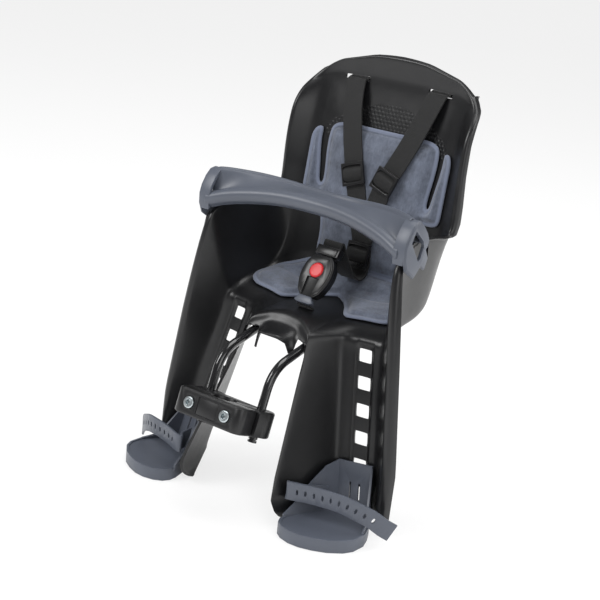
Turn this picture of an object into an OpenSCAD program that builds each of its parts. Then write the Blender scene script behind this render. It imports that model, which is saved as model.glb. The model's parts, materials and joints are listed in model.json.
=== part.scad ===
/* [Frame] */
// Lean of the stem and of the fork legs, back from upright
stem_lean = 18; // [16:1:20]
// Radius of the bicycle stem that the block clamps
stem_r = 14.3; // [12.5:0.1:14.5]
// Height of the clamp block along the stem
block_h = 28; // [26:1:30]
// Half the distance between the two fork legs
fork_x = 36; // [35:0.5:37]
// Radius of the fork rod
rod_r = 5; // [4.8:0.1:5.2]
// Running clearance round each fork leg in its barrel
rod_gap = 0.05; // [0.02:0.01:0.08]

/* [Shell] */
// Wall thickness of the moulded shell
wall = 3; // [2.6:0.1:3.2]
// Depth of the recessed ladder panel in each leg
panel_recess = 2.4; // [2:0.1:2.8]
// Distance between the ladder windows
window_pitch = 29; // [28:0.5:29.5]
// Height of one ladder window
window_h = 14; // [13:1:15]

/* [Seat fittings] */
// Width of the harness webbing
web_w = 25; // [24:0.5:25]
// Thickness of the harness webbing
web_t = 1.8; // [1.5:0.1:2]
// Thickness of the seat and back pads
pad_t = 7; // [6:0.5:8]
// Width of the foot strap
strap_w = 20; // [18:1:21]
// Thickness of the foot strap
strap_t = 2.4; // [2:0.2:2.6]

/* [Hidden] */

// The shell is lofted over guide rails, given from the clamp block's top between the fork legs.
// This moves the whole part so that the middle of the stem bore is the origin.
to_bore = [0, 24, 10];
sides = [-1, 1];

// Small vector helpers
function lerp(a, b, t) = a + (b - a) * t;
function unit(v) = v / max(norm(v), 0.000001);
function flat(a) = [for (row = a) for (p = row) p];
function mirror_x(p) = [-p[0], p[1], p[2]];

// A point of a smooth curve through four guide points
function smooth(a, b, c, d, t) =
    0.5 * ((2 * b) + (c - a) * t + (2 * a - 5 * b + 4 * c - d) * t * t
    + (3 * b - a - 3 * c + d) * t * t * t);

// A guide rail sampled at station s, which may lie between two of its points
function rail_at(rail, s) =
    let (last = len(rail) - 1, i = min(floor(s), last - 1), t = s - i)
    smooth(rail[max(i - 1, 0)], rail[i], rail[i + 1], rail[min(i + 2, last)], t);

// Upper guide rails, from the top edge down the back, over the hip and along the seat floor
centre_rail = [[0, 238, 356], [0, 242, 330], [0, 240, 310], [0, 233, 280], [0, 226, 245], [0, 219, 205],
    [0, 211, 160], [0, 200, 112], [0, 178, 86], [0, 148, 80], [0, 115, 80], [0, 76, 82]];
inner_rail = [[38, 238, 354], [38, 242, 330], [38, 240, 310], [40, 233, 280], [40, 226, 245], [40, 219, 205],
    [40, 211, 160], [40, 199, 112], [40, 178, 86], [40, 148, 79], [40, 113, 78], [42, 62, 70]];
fold_rail = [[80, 236, 344], [81, 239, 328], [80, 237, 309], [72, 231, 280], [70, 225, 245], [70, 218, 205],
    [70, 210, 160], [68, 198, 113], [66, 178, 87], [66, 150, 81], [66, 122, 80], [66, 97, 68]];
corner_rail = [[92, 235, 338], [96, 235, 322], [98, 230, 306], [98, 223, 280], [99, 217, 245], [100, 211, 205],
    [102, 204, 162], [104, 194, 120], [108, 176, 94], [110, 150, 86], [111, 126, 82], [112, 105, 68]];
rim_rail = [[104, 234, 330], [114, 226, 315], [120, 212, 299], [120, 201, 278], [119, 197, 245], [119, 197, 212],
    [120, 194, 186], [121, 182, 182], [122, 164, 184], [123, 142, 186], [124, 112, 184], [127, 76, 160]];
// How far the rolled edge turns out past the rim, and the edge of the roll beyond that
roll_rail = [[1, 2, 1], [3, 3, 2], [5, 2, 1], [5, 2, 0], [5, 2, 0], [6, 2, 0],
    [5, 3, -2], [2, 2, -2], [2, 1, -1], [2, 1, -1], [3, 1, 0], [7, 1, 1]];
lip_rail = [[0, 7, 0], [0, 7, 0], [0, 7, 0], [0, 8, 0], [0, 8, 0], [0, 8, 0],
    [0, 7, -1], [1, 3, -1], [1, 2, -1], [1, 2, -1], [1, 3, -1], [3, 7, 0]];

// Stations of the rows above the legs
upper_stations = [0, 0.5, 1, 1.85, 2.4, 3, 4, 5, 5.6, 6.2, 6.6, 7, 7.35, 7.7, 8, 8.5, 9, 9.6, 10.2, 10.6, 11];

// Heights of the ladder windows' edges, from the top window down
window_top = 59;
window_count = 6;
leg_heights = [for (w = [0:window_count - 1]) for (edge = [0, window_h]) window_top - w * window_pitch - edge];
leg_end = leg_heights[2 * window_count - 1];
leg_rows = concat(leg_heights, [leg_end - 2, leg_end - 4, leg_end - 6]);

// Front edge of the inner wall where it rounds off at the foot, for the last five rows
foot_curve = [[-9, -96], [-4, -109], [3, -116], [11, -121], [19, -124]];
foot_first = 2 * window_count - 2;

// Leg rails at height z: front edge of the inner wall, inner and outer corner of the back wall, and the rim
function leg_inner(z) = [51.5 - 0.155 * (z - 10), 36 + 0.45 * (z - 10), z - 2];
function leg_fold(z) = [66 - 0.19 * (z - 52), 95 + 0.17 * (z - 52), z];
function leg_corner(z) = [113 - 0.19 * (z - 52), 103 + 0.17 * (z - 52), z];
function leg_rim(z) = [141 - 0.13 * (max(z, -55) - 55), 65 + 0.05 * (z - 10), z];

// Apron under the ridge between the legs, for the three rows from the ridge down to the arch
apron_rows = [
    [[0, 72, 70], [13, 71, 70], [21, 70, 68], [27, 67, 67], [42, 61, 65]],
    [[0, 64, 66], [13, 64, 66], [20, 63, 65], [27, 62, 62], [43, 58.5, 59]],
    [[0, 42, 64], [12, 44, 63], [20, 50, 57], [26, 54, 38], [44, 50, 32]]];
apron_count = len(apron_rows);
centre_steps = [0, 0.3, 0.5, 0.62, 0.93];

// Columns of the back wall: panel edge, panel floor, window, window, panel floor, panel edge
panel_steps = [0.25, 0.31, 0.37, 0.73, 0.79, 0.85];

// Points round a corner b between a and c, set back by d, or less where the corner's sides are short
function corner_points(a, b, c, d, n) =
    let (e = min(d, 0.42 * norm(a - b), 0.42 * norm(c - b)), p = b + unit(a - b) * e, q = b + unit(c - b) * e)
    [for (i = [0:n - 1]) let (t = i / (n - 1)) lerp(lerp(p, b, t), lerp(b, q, t), t)];

// One half row of the shell, from the centre to the lip of the rolled rim
function half_row(start, inner, fold, corner, rim, roll, lip, recess, soft) =
    let (edge = rim + roll, end = edge + lip,
        back = unit(cross(corner - fold, [0, 0.17, 1])),
        fold_pts = corner_points(inner, fold, corner, soft, 4),
        corner_pts = corner_points(fold, corner, rim, soft, 4),
        a = fold_pts[3], b = corner_pts[0],
        rim_pts = corner_points(corner, rim, edge, norm(roll) * 0.45, 3),
        edge_pts = corner_points(rim, edge, end, norm(roll) * 0.45, 3))
    concat(start, [inner + [-2, 0, 0], inner + unit(fold - inner) * 3], fold_pts,
        [for (i = [0:5]) lerp(a, b, panel_steps[i]) - back * ((i > 0 && i < 5) ? recess : 0)],
        corner_pts, rim_pts, edge_pts, [end]);

function upper_row(s) =
    let (c = rail_at(centre_rail, s), i = rail_at(inner_rail, s))
    half_row([for (t = centre_steps) [i[0] * t, lerp(c[1], i[1], t * t), lerp(c[2], i[2], t * t)]], i,
        rail_at(fold_rail, s), rail_at(corner_rail, s), rail_at(rim_rail, s),
        rail_at(roll_rail, s), rail_at(lip_rail, s), 0, 8);

function leg_row(k) =
    let (z = leg_rows[k], high = leg_inner(z), end = foot_curve[k - foot_first],
        i = k < foot_first ? high : [high[0] + 2, end[0], end[1]],
        in_panel = k < 2 * window_count ? panel_recess : 0)
    half_row(k < apron_count ? apron_rows[k] : [for (t = centre_steps) i - [2.5, 0, 0]],
        i, leg_fold(z), leg_corner(z), leg_rim(z), [9, 2, 0], [2, 9, 0], in_panel, 8);

// The rolled edge over the top of the back
function top_row(s) =
    let (row = upper_row(0), face = len(row) - 8, last = row[len(row) - 1])
    [for (j = [0:len(row) - 1]) let (rear = j <= face ? row[j][1] + 8 : lerp(row[j][1], last[1] + 1, 0.8))
        [row[j][0], lerp(row[j][1], rear, s), row[j][2] + (1.5 - 0.02 * row[j][0]) * s]];

half_rows = concat([top_row(1), top_row(0.5)], [for (s = upper_stations) upper_row(s)],
    [for (k = [0:len(leg_rows) - 1]) leg_row(k)]);
half_count = len(half_rows[0]);
middle = half_count - 1;
first_leg_row = 2 + len(upper_stations);
grid = [for (h = half_rows) concat([for (i = [middle:-1:1]) mirror_x(h[i])], h)];

// Holes that fill one cell of the shell: [row, column, near margins, far margins, corner share]
window_column = 13;
slot_row = 2 + 2;
slot_column = 6;
fork_row = first_leg_row + 1;
fork_column = 3;
function cell_column(column, side) = middle + (side > 0 ? column : -column - 1);
window_holes = [for (w = [0:window_count - 1]) for (side = sides)
    [first_leg_row + 2 * w, cell_column(window_column, side), [0.03, 0.02], [0.97, 0.98], 0.22]];
slot_holes = [for (side = sides)
    [slot_row, cell_column(slot_column, side), [0.03, 0.12], [0.97, 0.8], 0.2]];
fork_holes = [for (side = sides)
    [fork_row, cell_column(fork_column, side), [0.03, 0.02], [0.97, 0.97], 0.3]];
holes = concat(window_holes, slot_holes, fork_holes);
hole_sides = 16;

// Corner points of a hole in its cell, four to each rounded corner, going round clockwise seen from the child
function hole_point(h, i) =
    let (lo = h[2], hi = h[3], q = floor(i / 4), a = 30 * (i % 4),
        r = [h[4] * (hi[0] - lo[0]), h[4] * (hi[1] - lo[1])],
        at = [[lo[0] + r[0], lo[1] + r[1]], [hi[0] - r[0], lo[1] + r[1]],
            [hi[0] - r[0], hi[1] - r[1]], [lo[0] + r[0], hi[1] - r[1]]][q],
        turn = [[-cos(a), -sin(a)], [sin(a), -cos(a)], [cos(a), sin(a)], [-sin(a), cos(a)]][q])
    [at[0] + r[0] * turn[0], at[1] + r[1] * turn[1]];
function in_cell(g, r, c, uv) =
    lerp(lerp(g[r][c], g[r][c + 1], uv[0]), lerp(g[r + 1][c], g[r + 1][c + 1], uv[0]), uv[1]);
function hole_ring(g, h) = [for (i = [0:hole_sides - 1]) in_cell(g, h[0], h[1], hole_point(h, i))];

// A sheet of wall over a grid of points, between the distances near and far on its outward side.
// Cells for which skip(row, column) is true are left out, and each hole in the list pierces its cell.
function grid_across(g, r, c) = g[r][min(c + 1, len(g[0]) - 1)] - g[r][max(c - 1, 0)];
function grid_along(g, r, c) = g[min(r + 1, len(g) - 1)][c] - g[max(r - 1, 0)][c];
function shifted(g, d) = [for (r = [0:len(g) - 1]) [for (c = [0:len(g[0]) - 1])
    g[r][c] + unit(cross(grid_across(g, r, c), grid_along(g, r, c))) * d]];
function quad(a, b, c, d, out) = out ? [[a, c, b], [a, d, c]] : [[a, b, c], [a, c, d]];
function edge_wall(a, b, size) = [[b, a, a + size], [b, a + size, b + size]];

module sheet(g, near, far, holes = [], skip = function(r, c) false) {
    rows = len(g);
    cols = len(g[0]);
    inner = near == 0 ? g : shifted(g, near);
    outer = shifted(g, far);
    rings = len(holes) * hole_sides;
    block = rows * cols + rings;
    points = concat(flat(inner), flat([for (h = holes) hole_ring(inner, h)]),
        flat(outer), flat([for (h = holes) hole_ring(outer, h)]));
    is_wall = function(r, c) r >= 0 && c >= 0 && r < rows - 1 && c < cols - 1 && !skip(r, c);
    ring_id = function(k, i) rows * cols + k * hole_sides + (i % hole_sides);
    corners = function(r, c) [r * cols + c, r * cols + c + 1, (r + 1) * cols + c + 1, (r + 1) * cols + c];
    hole_at = function(r, c) [for (k = [0:1:len(holes) - 1]) if (holes[k][0] == r && holes[k][1] == c) k];
    cells = [for (r = [0:rows - 2]) for (c = [0:cols - 2]) if (is_wall(r, c)) [r, c]];
    one_skin = flat([for (cell = cells)
        let (q = corners(cell[0], cell[1]), k = hole_at(cell[0], cell[1]))
        len(k) == 0 ? quad(q[0], q[1], q[2], q[3], false) :
        flat([for (j = [0:3]) let (last = ring_id(k[0], 4 * j + 3), first = ring_id(k[0], 4 * j + 4))
            concat([for (i = [0:2]) [q[j], ring_id(k[0], 4 * j + i + 1), ring_id(k[0], 4 * j + i)]],
            [[q[j], first, last], [q[j], q[(j + 1) % 4], first]])])]);
    other_skin = [for (f = one_skin) [f[0] + block, f[2] + block, f[1] + block]];
    edges = flat([for (cell = cells) let (r = cell[0], c = cell[1], q = corners(r, c)) concat(
        is_wall(r - 1, c) ? [] : edge_wall(q[0], q[1], block),
        is_wall(r, c + 1) ? [] : edge_wall(q[1], q[2], block),
        is_wall(r + 1, c) ? [] : edge_wall(q[2], q[3], block),
        is_wall(r, c - 1) ? [] : edge_wall(q[3], q[0], block))]);
    hole_walls = flat([for (k = [0:1:len(holes) - 1]) for (i = [0:hole_sides - 1])
        edge_wall(ring_id(k, i + 1), ring_id(k, i), block)]);
    polyhedron(points, concat(one_skin, other_skin, edges, hole_walls), convexity = 10);
}

// The gap between the legs, below the apron
centre_end = first_leg_row + apron_count - 1;
centre_half = len(centre_steps);

module seat_shell()
    color([0.13, 0.13, 0.14])
    translate(to_bore)
    sheet(grid, 0, wall, holes,
        function(r, c) r >= centre_end && c >= middle - centre_half && c < middle + centre_half);

// The shell's surface seen from the child: the point above x on a half row
function on_row(row, x) =
    let (i = max([for (k = [0:len(row) - 8]) if (row[k][0] <= x) k]),
        t = (x - row[i][0]) / (row[i + 1][0] - row[i][0]))
    lerp(row[i], row[i + 1], t);
function on_shell(s, x) = let (p = on_row(upper_row(s), abs(x))) x < 0 ? mirror_x(p) : p;
pad_gap = 0.6;

// Back pad: stations down the back, with the half width of the main panel at each, and its wings
back_stations = [3.3, 3.4, 3.55, 3.8, 4.1, 4.45, 4.8, 5.2, 5.6, 5.8, 6.1, 6.5, 6.95];
back_main = [64, 74, 78, 79, 79, 78, 76, 74, 72, 70, 66, 62, 62];
wing_first = 2;
wing_last = 8;
wing_out = 96;
wing_slot = 4;
back_grid = [for (i = [0:len(back_stations) - 1])
    let (m = back_main[i],
        w = i == wing_first ? wing_out - 6 : i > wing_first && i <= wing_last ? wing_out : m + 2 * wing_slot,
        half = [0, m * 0.33, m * 0.66, m, m + wing_slot, w])
    [for (k = [-5:5]) on_shell(back_stations[i], (k < 0 ? -1 : 1) * half[abs(k)])]];
function off_back_pad(r, c) =
    let (k = c < 5 ? 4 - c : c - 5)
    (k == 3 && r != wing_last - 1) || (k == 4 && (r < wing_first || r >= wing_last));

module back_pad()
    color([0.41, 0.44, 0.5])
    translate(to_bore)
    sheet(back_grid, -pad_gap - pad_t, -pad_gap, [], function(r, c) off_back_pad(r, c));

// Seat pad: stations along the floor, with the inner and outer edge of each thigh lobe
seat_stations = [7.1, 7.4, 7.7, 8, 8.4, 8.8, 9.2, 9.6, 9.9];
seat_outer = [62, 80, 95, 102, 106, 108, 108, 104, 90];
seat_inner = [1, 1, 1, 1, 1, 18, 28, 36, 46];
lobe_row = 4;
seat_grid = [for (i = [0:len(seat_stations) - 1])
    let (a = seat_inner[i], b = seat_outer[i])
    [for (k = [-5:5]) on_shell(seat_stations[i], k == 0 ? 0 : sign(k) * lerp(a, b, (abs(k) - 1) / 4))]];

module seat_pad()
    color([0.41, 0.44, 0.5])
    translate(to_bore)
    sheet(seat_grid, -pad_gap - pad_t, -pad_gap, [], function(r, c) (c == 4 || c == 5) && r >= lobe_row);

// The clamp block stands square to the stem, with the fork legs behind the bore
fork_back = to_bore[1] * cos(stem_lean) - to_bore[2] * sin(stem_lean);
barrel_r = 15.5;
split = 1;
front_depth = 25;
front_half = 46;
front_round = 9;
bolt_x = 25;
bolt_r = 4;
bolt_gap = 0.25;
head_r = 6.5;
head_h = 8;
head_sink = 6;
hex_key = 6;
nut_r = 5.2;
nut_h = 6.5;
nut_face = 24;
bevel = 1.2;
plate_w = 27;
plate_h = 19;
plate_t = 1.2;
plate_sink = 1.6;
module on_stem() { rotate([-stem_lean, 0, 0]) children(); }

// Rear half in plan: a barrel round each fork leg and the web between them
module rear_outline(inset) {
    for (side = sides)
        translate([side * fork_x, fork_back]) circle(r = barrel_r - inset, $fn = 64);
    translate([-fork_x - barrel_r + inset + 2, split])
        square([2 * (fork_x + barrel_r - inset - 2), fork_back - split]);
    translate([-fork_x, split]) square([2 * fork_x, fork_back + barrel_r - inset - 6 - split]);
}

// Front half in plan: a bar with rounded outer corners
module front_outline(inset) {
    w = front_half - inset - front_round;
    for (side = sides)
        translate([side * w, -front_depth + inset + front_round]) circle(r = front_round, $fn = 48);
    translate([-w, -front_depth + inset]) square([2 * w, front_depth - inset - split]);
    translate([-w - front_round, -front_depth + inset + front_round])
        square([2 * (w + front_round), front_depth - inset - front_round - split]);
}

module stem_bore() { cylinder(r = stem_r, h = 2 * block_h, center = true, $fn = 96); }

module clamp_rear()
    color([0.12, 0.12, 0.13])
    on_stem()
    difference() {
        for (step = [0:2])
            translate([0, 0, -block_h / 2 + bevel * (2 - step) / 2])
                linear_extrude(block_h - bevel * (2 - step)) rear_outline(bevel * step / 2);
        stem_bore();
        for (side = sides) {
            translate([side * fork_x, fork_back, 0])
                cylinder(r = rod_r + rod_gap, h = 2 * block_h, center = true, $fn = 48);
            translate([side * bolt_x, 0, 0]) rotate([-90, 0, 0])
                cylinder(r = bolt_r + bolt_gap, h = 60, $fn = 32);
            translate([side * bolt_x, nut_face - nut_h, 0]) rotate([-90, 0, 0])
                cylinder(r = nut_r + bolt_gap, h = 30, $fn = 48);
        }
    }

module clamp_front()
    color([0.13, 0.13, 0.14])
    on_stem()
    difference() {
        for (step = [0:2])
            translate([0, 0, -block_h / 2 + bevel * (2 - step) / 2])
                linear_extrude(block_h - bevel * (2 - step)) front_outline(bevel * step / 2);
        stem_bore();
        for (side = sides) {
            translate([side * bolt_x, 0, 0]) rotate([90, 0, 0])
                cylinder(r = bolt_r + bolt_gap, h = 60, $fn = 32);
            translate([side * bolt_x, -front_depth + head_sink, 0]) rotate([90, 0, 0])
                cylinder(r = head_r + 0.6, h = 30, $fn = 48);
        }
        translate([-plate_w / 2, -front_depth - 1, -plate_h / 2]) cube([plate_w, plate_sink + 1, plate_h]);
    }

module clamp_plate()
    color([0.16, 0.16, 0.17])
    on_stem()
    translate([0, -front_depth + plate_sink, 0])
    rotate([90, 0, 0])
    linear_extrude(plate_t)
    square([plate_w - 0.6, plate_h - 0.6], center = true);

module clamp_bolts()
    color([0.75, 0.78, 0.8])
    on_stem()
    for (side = sides)
        translate([side * bolt_x, -front_depth + head_sink, 0])
        rotate([-90, 0, 0])
        difference() {
            union() {
                translate([0, 0, -head_h + 0.8]) cylinder(r = head_r, h = head_h - 0.8, $fn = 48);
                translate([0, 0, -head_h]) cylinder(r1 = head_r - 0.8, r2 = head_r, h = 0.8, $fn = 48);
                cylinder(r = bolt_r, h = nut_face + front_depth - head_sink + 2, $fn = 32);
            }
            translate([0, 0, -head_h - 1]) cylinder(r = hex_key / 2 / cos(30), h = 5, $fn = 6);
        }

module clamp_nuts()
    color([0.72, 0.74, 0.76])
    on_stem()
    for (side = sides)
        translate([side * bolt_x, nut_face - nut_h, 0])
        rotate([-90, 0, 0])
        difference() {
            cylinder(r = nut_r, h = nut_h, $fn = 48);
            translate([0, 0, -1]) cylinder(r = bolt_r + 0.01, h = nut_h + 2, $fn = 32);
        }

// Fork: one bent rod. Each leg runs up the stem direction, bends back with bend_r, rises gently
// under the seat and turns in to the bar that joins the two legs. The bends are a weld's width thicker, so
// that each straight run ends inside them.
tip_below = 39;
leg_up = 19.3;
bend_r = 40;
rise = 16;
run_back = 70;
turn_r = 18;
bend_angle = 90 - stem_lean - rise;
weld = 0.02;
lap = 0.5;
groove = 1.2;
tip_h = 2.5;
module rod(length) { cylinder(r = rod_r, h = length, $fn = 48); }
module elbow(r, angle) {
    rotate_extrude(angle = angle, $fn = 96) translate([r, 0]) circle(r = rod_r + weld, $fn = 48);
}
module fork_leg() {
    translate([fork_x, 0, 0])
        rotate([-stem_lean, 0, 0]) {
            translate([0, 0, tip_h + groove - tip_below]) rod(tip_below - tip_h - groove + leg_up + lap);
            translate([0, 0, -tip_below]) rod(tip_h);
            translate([0, 0, tip_h - tip_below - lap])
                cylinder(r = rod_r - groove, h = groove + 2 * lap, $fn = 48);
            translate([0, bend_r, leg_up]) rotate([90, 0, -90]) elbow(bend_r, bend_angle);
            translate([0, bend_r, leg_up]) rotate([-bend_angle, 0, 0]) translate([0, -bend_r, 0]) {
                translate([0, 0, -lap]) rod(run_back + 2 * lap);
                translate([-turn_r, 0, run_back]) rotate([90, 0, 0]) elbow(turn_r, 90);
                translate([-turn_r + lap, 0, run_back + turn_r]) rotate([0, -90, 0])
                    rod(fork_x - turn_r + 2 * lap);
            }
        }
}

module support_fork()
    color([0.1, 0.1, 0.11])
    translate(to_bore)
    union() {
        fork_leg();
        mirror([1, 0, 0]) fork_leg();
    }

// Saddle that holds the fork's cross bar up under the seat floor, with its screws
bend_end = bend_r * [0, 1 - cos(bend_angle), sin(bend_angle)] + [0, 0, leg_up];
bar_run = run_back + turn_r;
cross_bar = [0, bend_end[1] * cos(stem_lean) + bend_end[2] * sin(stem_lean) + bar_run * cos(rise),
    bend_end[2] * cos(stem_lean) - bend_end[1] * sin(stem_lean) + bar_run * sin(rise)];
saddle = [34, 26, 9];
saddle_top = 76.1;
screw_x = 12;
screw_back = 9;
screw_r = 2;
module fork_saddle()
    color([0.12, 0.12, 0.13])
    translate(to_bore)
    difference() {
        translate([0, cross_bar[1], saddle_top - saddle[2] - 6])
            for (step = [0, 1])
                translate([-saddle[0] / 2 + step, -saddle[1] / 2 + step, step ? -1 : 0])
                    cube([saddle[0] - 2 * step, saddle[1] - 2 * step, saddle[2] + 6 + step]);
        translate([-saddle[0], cross_bar[1], cross_bar[2]]) rotate([0, 90, 0])
            cylinder(r = rod_r + 0.1, h = 2 * saddle[0], $fn = 48);
        for (side = sides)
            translate([side * screw_x, cross_bar[1] + screw_back, 0]) cylinder(r = screw_r + 0.1, h = 100, $fn = 32);
    }

module fork_screws()
    color([0.72, 0.74, 0.76])
    translate(to_bore)
    for (side = sides)
        translate([side * screw_x, cross_bar[1] + screw_back, saddle_top - saddle[2] - 7])
        difference() {
            union() {
                translate([0, 0, -2.6]) cylinder(r1 = 2.6, r2 = 4, h = 1.4, $fn = 40);
                translate([0, 0, -1.2]) cylinder(r = 4, h = 1.2, $fn = 40);
                cylinder(r = screw_r, h = saddle[2] + 7 + 2.2, $fn = 32);
            }
            for (turn = [0, 90]) rotate([0, 0, turn]) translate([-1.8, -0.4, -3.6]) cube([3.6, 0.8, 2]);
        }

// Safety bar: sections along x, given by the low front edge and the high rear edge
bar_x = [0, 20, 40, 60, 80, 100, 115, 126];
bar_front = [[100, 191.7], [99.5, 191.7], [97, 191.2], [94, 189.4], [90, 186.5], [85, 182.7], [81, 178.8],
    [78, 174.5]];
bar_rear = [[140, 208.6], [139.5, 208.8], [138, 209.6], [134, 211.5], [128.5, 213.2], [119.5, 214.6],
    [110.5, 215.4], [103, 216]];
bar_nose = [[-1.6, 1.5], [-3, 4.5], [-3.6, 8], [-2.8, 11.5], [0, 14.5], [4, 16.2]];
bar_back = [[-14, -1.2], [-8.5, -0.9], [-6.5, 0.4], [-3, 0.9], [0, 0], [1.8, -3], [1.6, -15]];
bar_wall = 2.8;
function bar_section(i, side) =
    let (f = bar_front[i], r = bar_rear[i])
    [for (p = concat([f + [5, -3], f], [for (n = bar_nose) f + n], [for (n = bar_back) r + n]))
        [side * bar_x[i], p[0], p[1]]];
bar_count = len(bar_x);
bar_grid = concat([for (i = [bar_count - 1:-1:1]) bar_section(i, -1)],
    [for (i = [0:bar_count - 1]) bar_section(i, 1)]);

module safety_bar()
    color([0.42, 0.45, 0.52])
    translate(to_bore)
    sheet(bar_grid, 0, bar_wall);

// End catch of the bar: a cap over the shell's rim, and outside it a plate with a window and a hook
catch_outline = [[80, 163], [75.5, 174], [75, 186], [78, 196], [84, 206], [91, 213], [99, 214.5], [107, 208], [114, 200],
    [118.5, 192], [117, 185], [113.5, 182], [119.5, 171], [115, 159], [107, 163.5], [96, 152.5]];
cap_outline = [[76, 169], [75.5, 174], [75, 186], [78, 196], [84, 206], [91, 213], [99, 214.5], [107, 208], [114, 200],
    [118, 194], [112, 192]];
catch_window = [[91, 205], [84.5, 193], [100, 171.5], [103, 173], [108, 186], [106, 192]];
catch_first = 127.6;
catch_plate = 140;
catch_end = 143.5;
catch_middle = [98, 190];
module scaled_outline(points, about, k) { polygon([for (p = points) about + (p - about) * k]); }
module catch_slab(points, k, from, to) {
    rotate([90, 0, 90]) translate([0, 0, from]) linear_extrude(to - from) scaled_outline(points, catch_middle, k);
}
module bar_catch()
    color([0.4, 0.43, 0.5])
    translate(to_bore)
    difference() {
        union() {
            catch_slab(cap_outline, 1, catch_first, catch_plate);
            catch_slab(catch_outline, 1, catch_plate, catch_end - 1.6);
            catch_slab(catch_outline, 0.97, catch_end - 1.7, catch_end - 0.7);
            catch_slab(catch_outline, 0.93, catch_end - 0.8, catch_end);
        }
        catch_slab(cap_outline, 0.82, catch_first - 1, catch_plate - 2);
        catch_slab(catch_window, 1, catch_first, catch_end + 1);
    }
module bar_catch_right() bar_catch();
module bar_catch_left() mirror([1, 0, 0]) bar_catch();

// Webbing: a path of points, raised over the middle bars of the adjusters at the stations in hops.
// Its width stays square to the path, and the rows are closer together beside an adjuster.
hop_h = 4.6;
hop_full = 5.4;
hop_end = 10.4;
function path_way(path, s) = unit(rail_at(path, min(s + 0.05, len(path) - 1)) - rail_at(path, max(s - 0.05, 0)));
function square_to(way, across) = unit(across - way * (across * way));
function hop(p, path, hops) = max(concat([0],
    [for (h = hops) min(1, max(0, (hop_end - norm(p - path[h])) / (hop_end - hop_full)))]));
function web_stations(path, hops, n) = concat(
    [for (i = [0:len(path) - 2]) let (m = len([for (h = hops) if (i == h || i == h - 1) h]) > 0 ? 4 * n : n)
        for (j = [0:m - 1]) i + j / m],
    [len(path) - 1]);
function web_grid(path, across, steps, hops, n) =
    [for (s = web_stations(path, hops, n))
        let (p = rail_at(path, s), way = path_way(path, s), a = square_to(way, across),
            c = p + cross(way, a) * (hop_h * hop(p, path, hops)))
        [for (w = steps) c + a * w]];

slot_x = 56;
left_path = [[-slot_x, 251.2, 313], [-slot_x, 251.2, 320], [-slot_x, 250, 323.2], [-slot_x, 247, 324.6],
    [-slot_x, 243.6, 324], [-slot_x, 240.4, 322.2], [-55.5, 235, 319], [-50, 225, 295], [-41, 217, 265],
    [-32, 211, 239], [-25, 207.5, 218], [-18, 205, 199], [-9, 201, 175], [2, 196, 152], [8, 191.5, 133],
    [10, 188, 120], [11, 182, 111], [10, 172, 109], [7, 161, 121], [3, 155, 138], [1, 152.8, 146],
    [0.3, 151.2, 150.4], [0, 148.4, 152], [0, 146.2, 149.4], [0, 144.6, 145], [0, 141.5, 140]];
right_path = [[slot_x, 251.2, 313], [slot_x, 251.2, 320], [slot_x, 250, 323.2], [slot_x, 247, 324.6],
    [slot_x, 243.6, 324], [slot_x, 240.4, 322.2], [55.5, 235, 319], [50, 225, 295], [41, 215.5, 265],
    [31, 208.5, 239], [22, 203.5, 218], [17, 200.5, 199], [12, 196, 175], [9, 191.5, 152], [8, 186.8, 133],
    [9, 183.2, 116]];
upper_hop = 10;
lower_hop = 14;
web_steps = [-0.5, 0, 0.5];
module harness_strap(path, hops)
    color([0.1, 0.1, 0.1])
    translate(to_bore)
    sheet(web_grid(path, [1, 0, 0], web_w * web_steps, hops, 2), 0, web_t);
module shoulder_strap_left() harness_strap(left_path, [upper_hop]);
module shoulder_strap_right() harness_strap(right_path, [upper_hop, lower_hop]);

slot_bar_r = 2;
slot_bar_l = 34;
module slot_bar(side)
    color([0.8, 0.8, 0.82])
    translate(to_bore)
    translate([side * slot_x - slot_bar_l / 2, 247, 320.2])
    rotate([0, 90, 0])
    cylinder(r = slot_bar_r, h = slot_bar_l, $fn = 40);
module slot_bar_left() slot_bar(-1);
module slot_bar_right() slot_bar(1);

// Adjuster: a frame with two slots and a sunken middle bar, square to the webbing that it rides on
adjuster_size = [35, 28, 3.6];
adjuster_gap = 0.4;
adjuster_slot = [28.6, 8.6];
adjuster_bar = 5;
adjuster_sink = 1.4;
module adjuster(path, station)
    color([0.09, 0.09, 0.1])
    translate(to_bore)
    translate(path[station])
    let (way = path_way(path, station), a = square_to(way, [1, 0, 0]), n = cross(way, a))
    multmatrix([for (k = [0:2]) [a[k], -way[k], n[k], 0]])
    translate([0, 0, adjuster_gap])
    difference() {
        linear_extrude(adjuster_size[2]) round_rect(adjuster_size[0], adjuster_size[1], 5);
        for (side = sides)
            translate([0, side * (adjuster_bar + adjuster_slot[1]) / 2, -1])
                linear_extrude(adjuster_size[2] + 2) round_rect(adjuster_slot[0], adjuster_slot[1], 1.5);
        translate([0, 0, adjuster_size[2] - adjuster_sink])
            linear_extrude(adjuster_size[2]) square([adjuster_slot[0], adjuster_bar + 1], center = true);
    }
module round_rect(w, h, r) {
    for (sx = sides) for (sy = sides) translate([sx * (w / 2 - r), sy * (h / 2 - r)]) circle(r = r, $fn = 32);
    square([w, h - 2 * r], center = true);
    square([w - 2 * r, h], center = true);
}
module adjuster_left() adjuster(left_path, upper_hop);
module adjuster_right() adjuster(right_path, upper_hop);
module adjuster_lower() adjuster(right_path, lower_hop);

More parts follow.
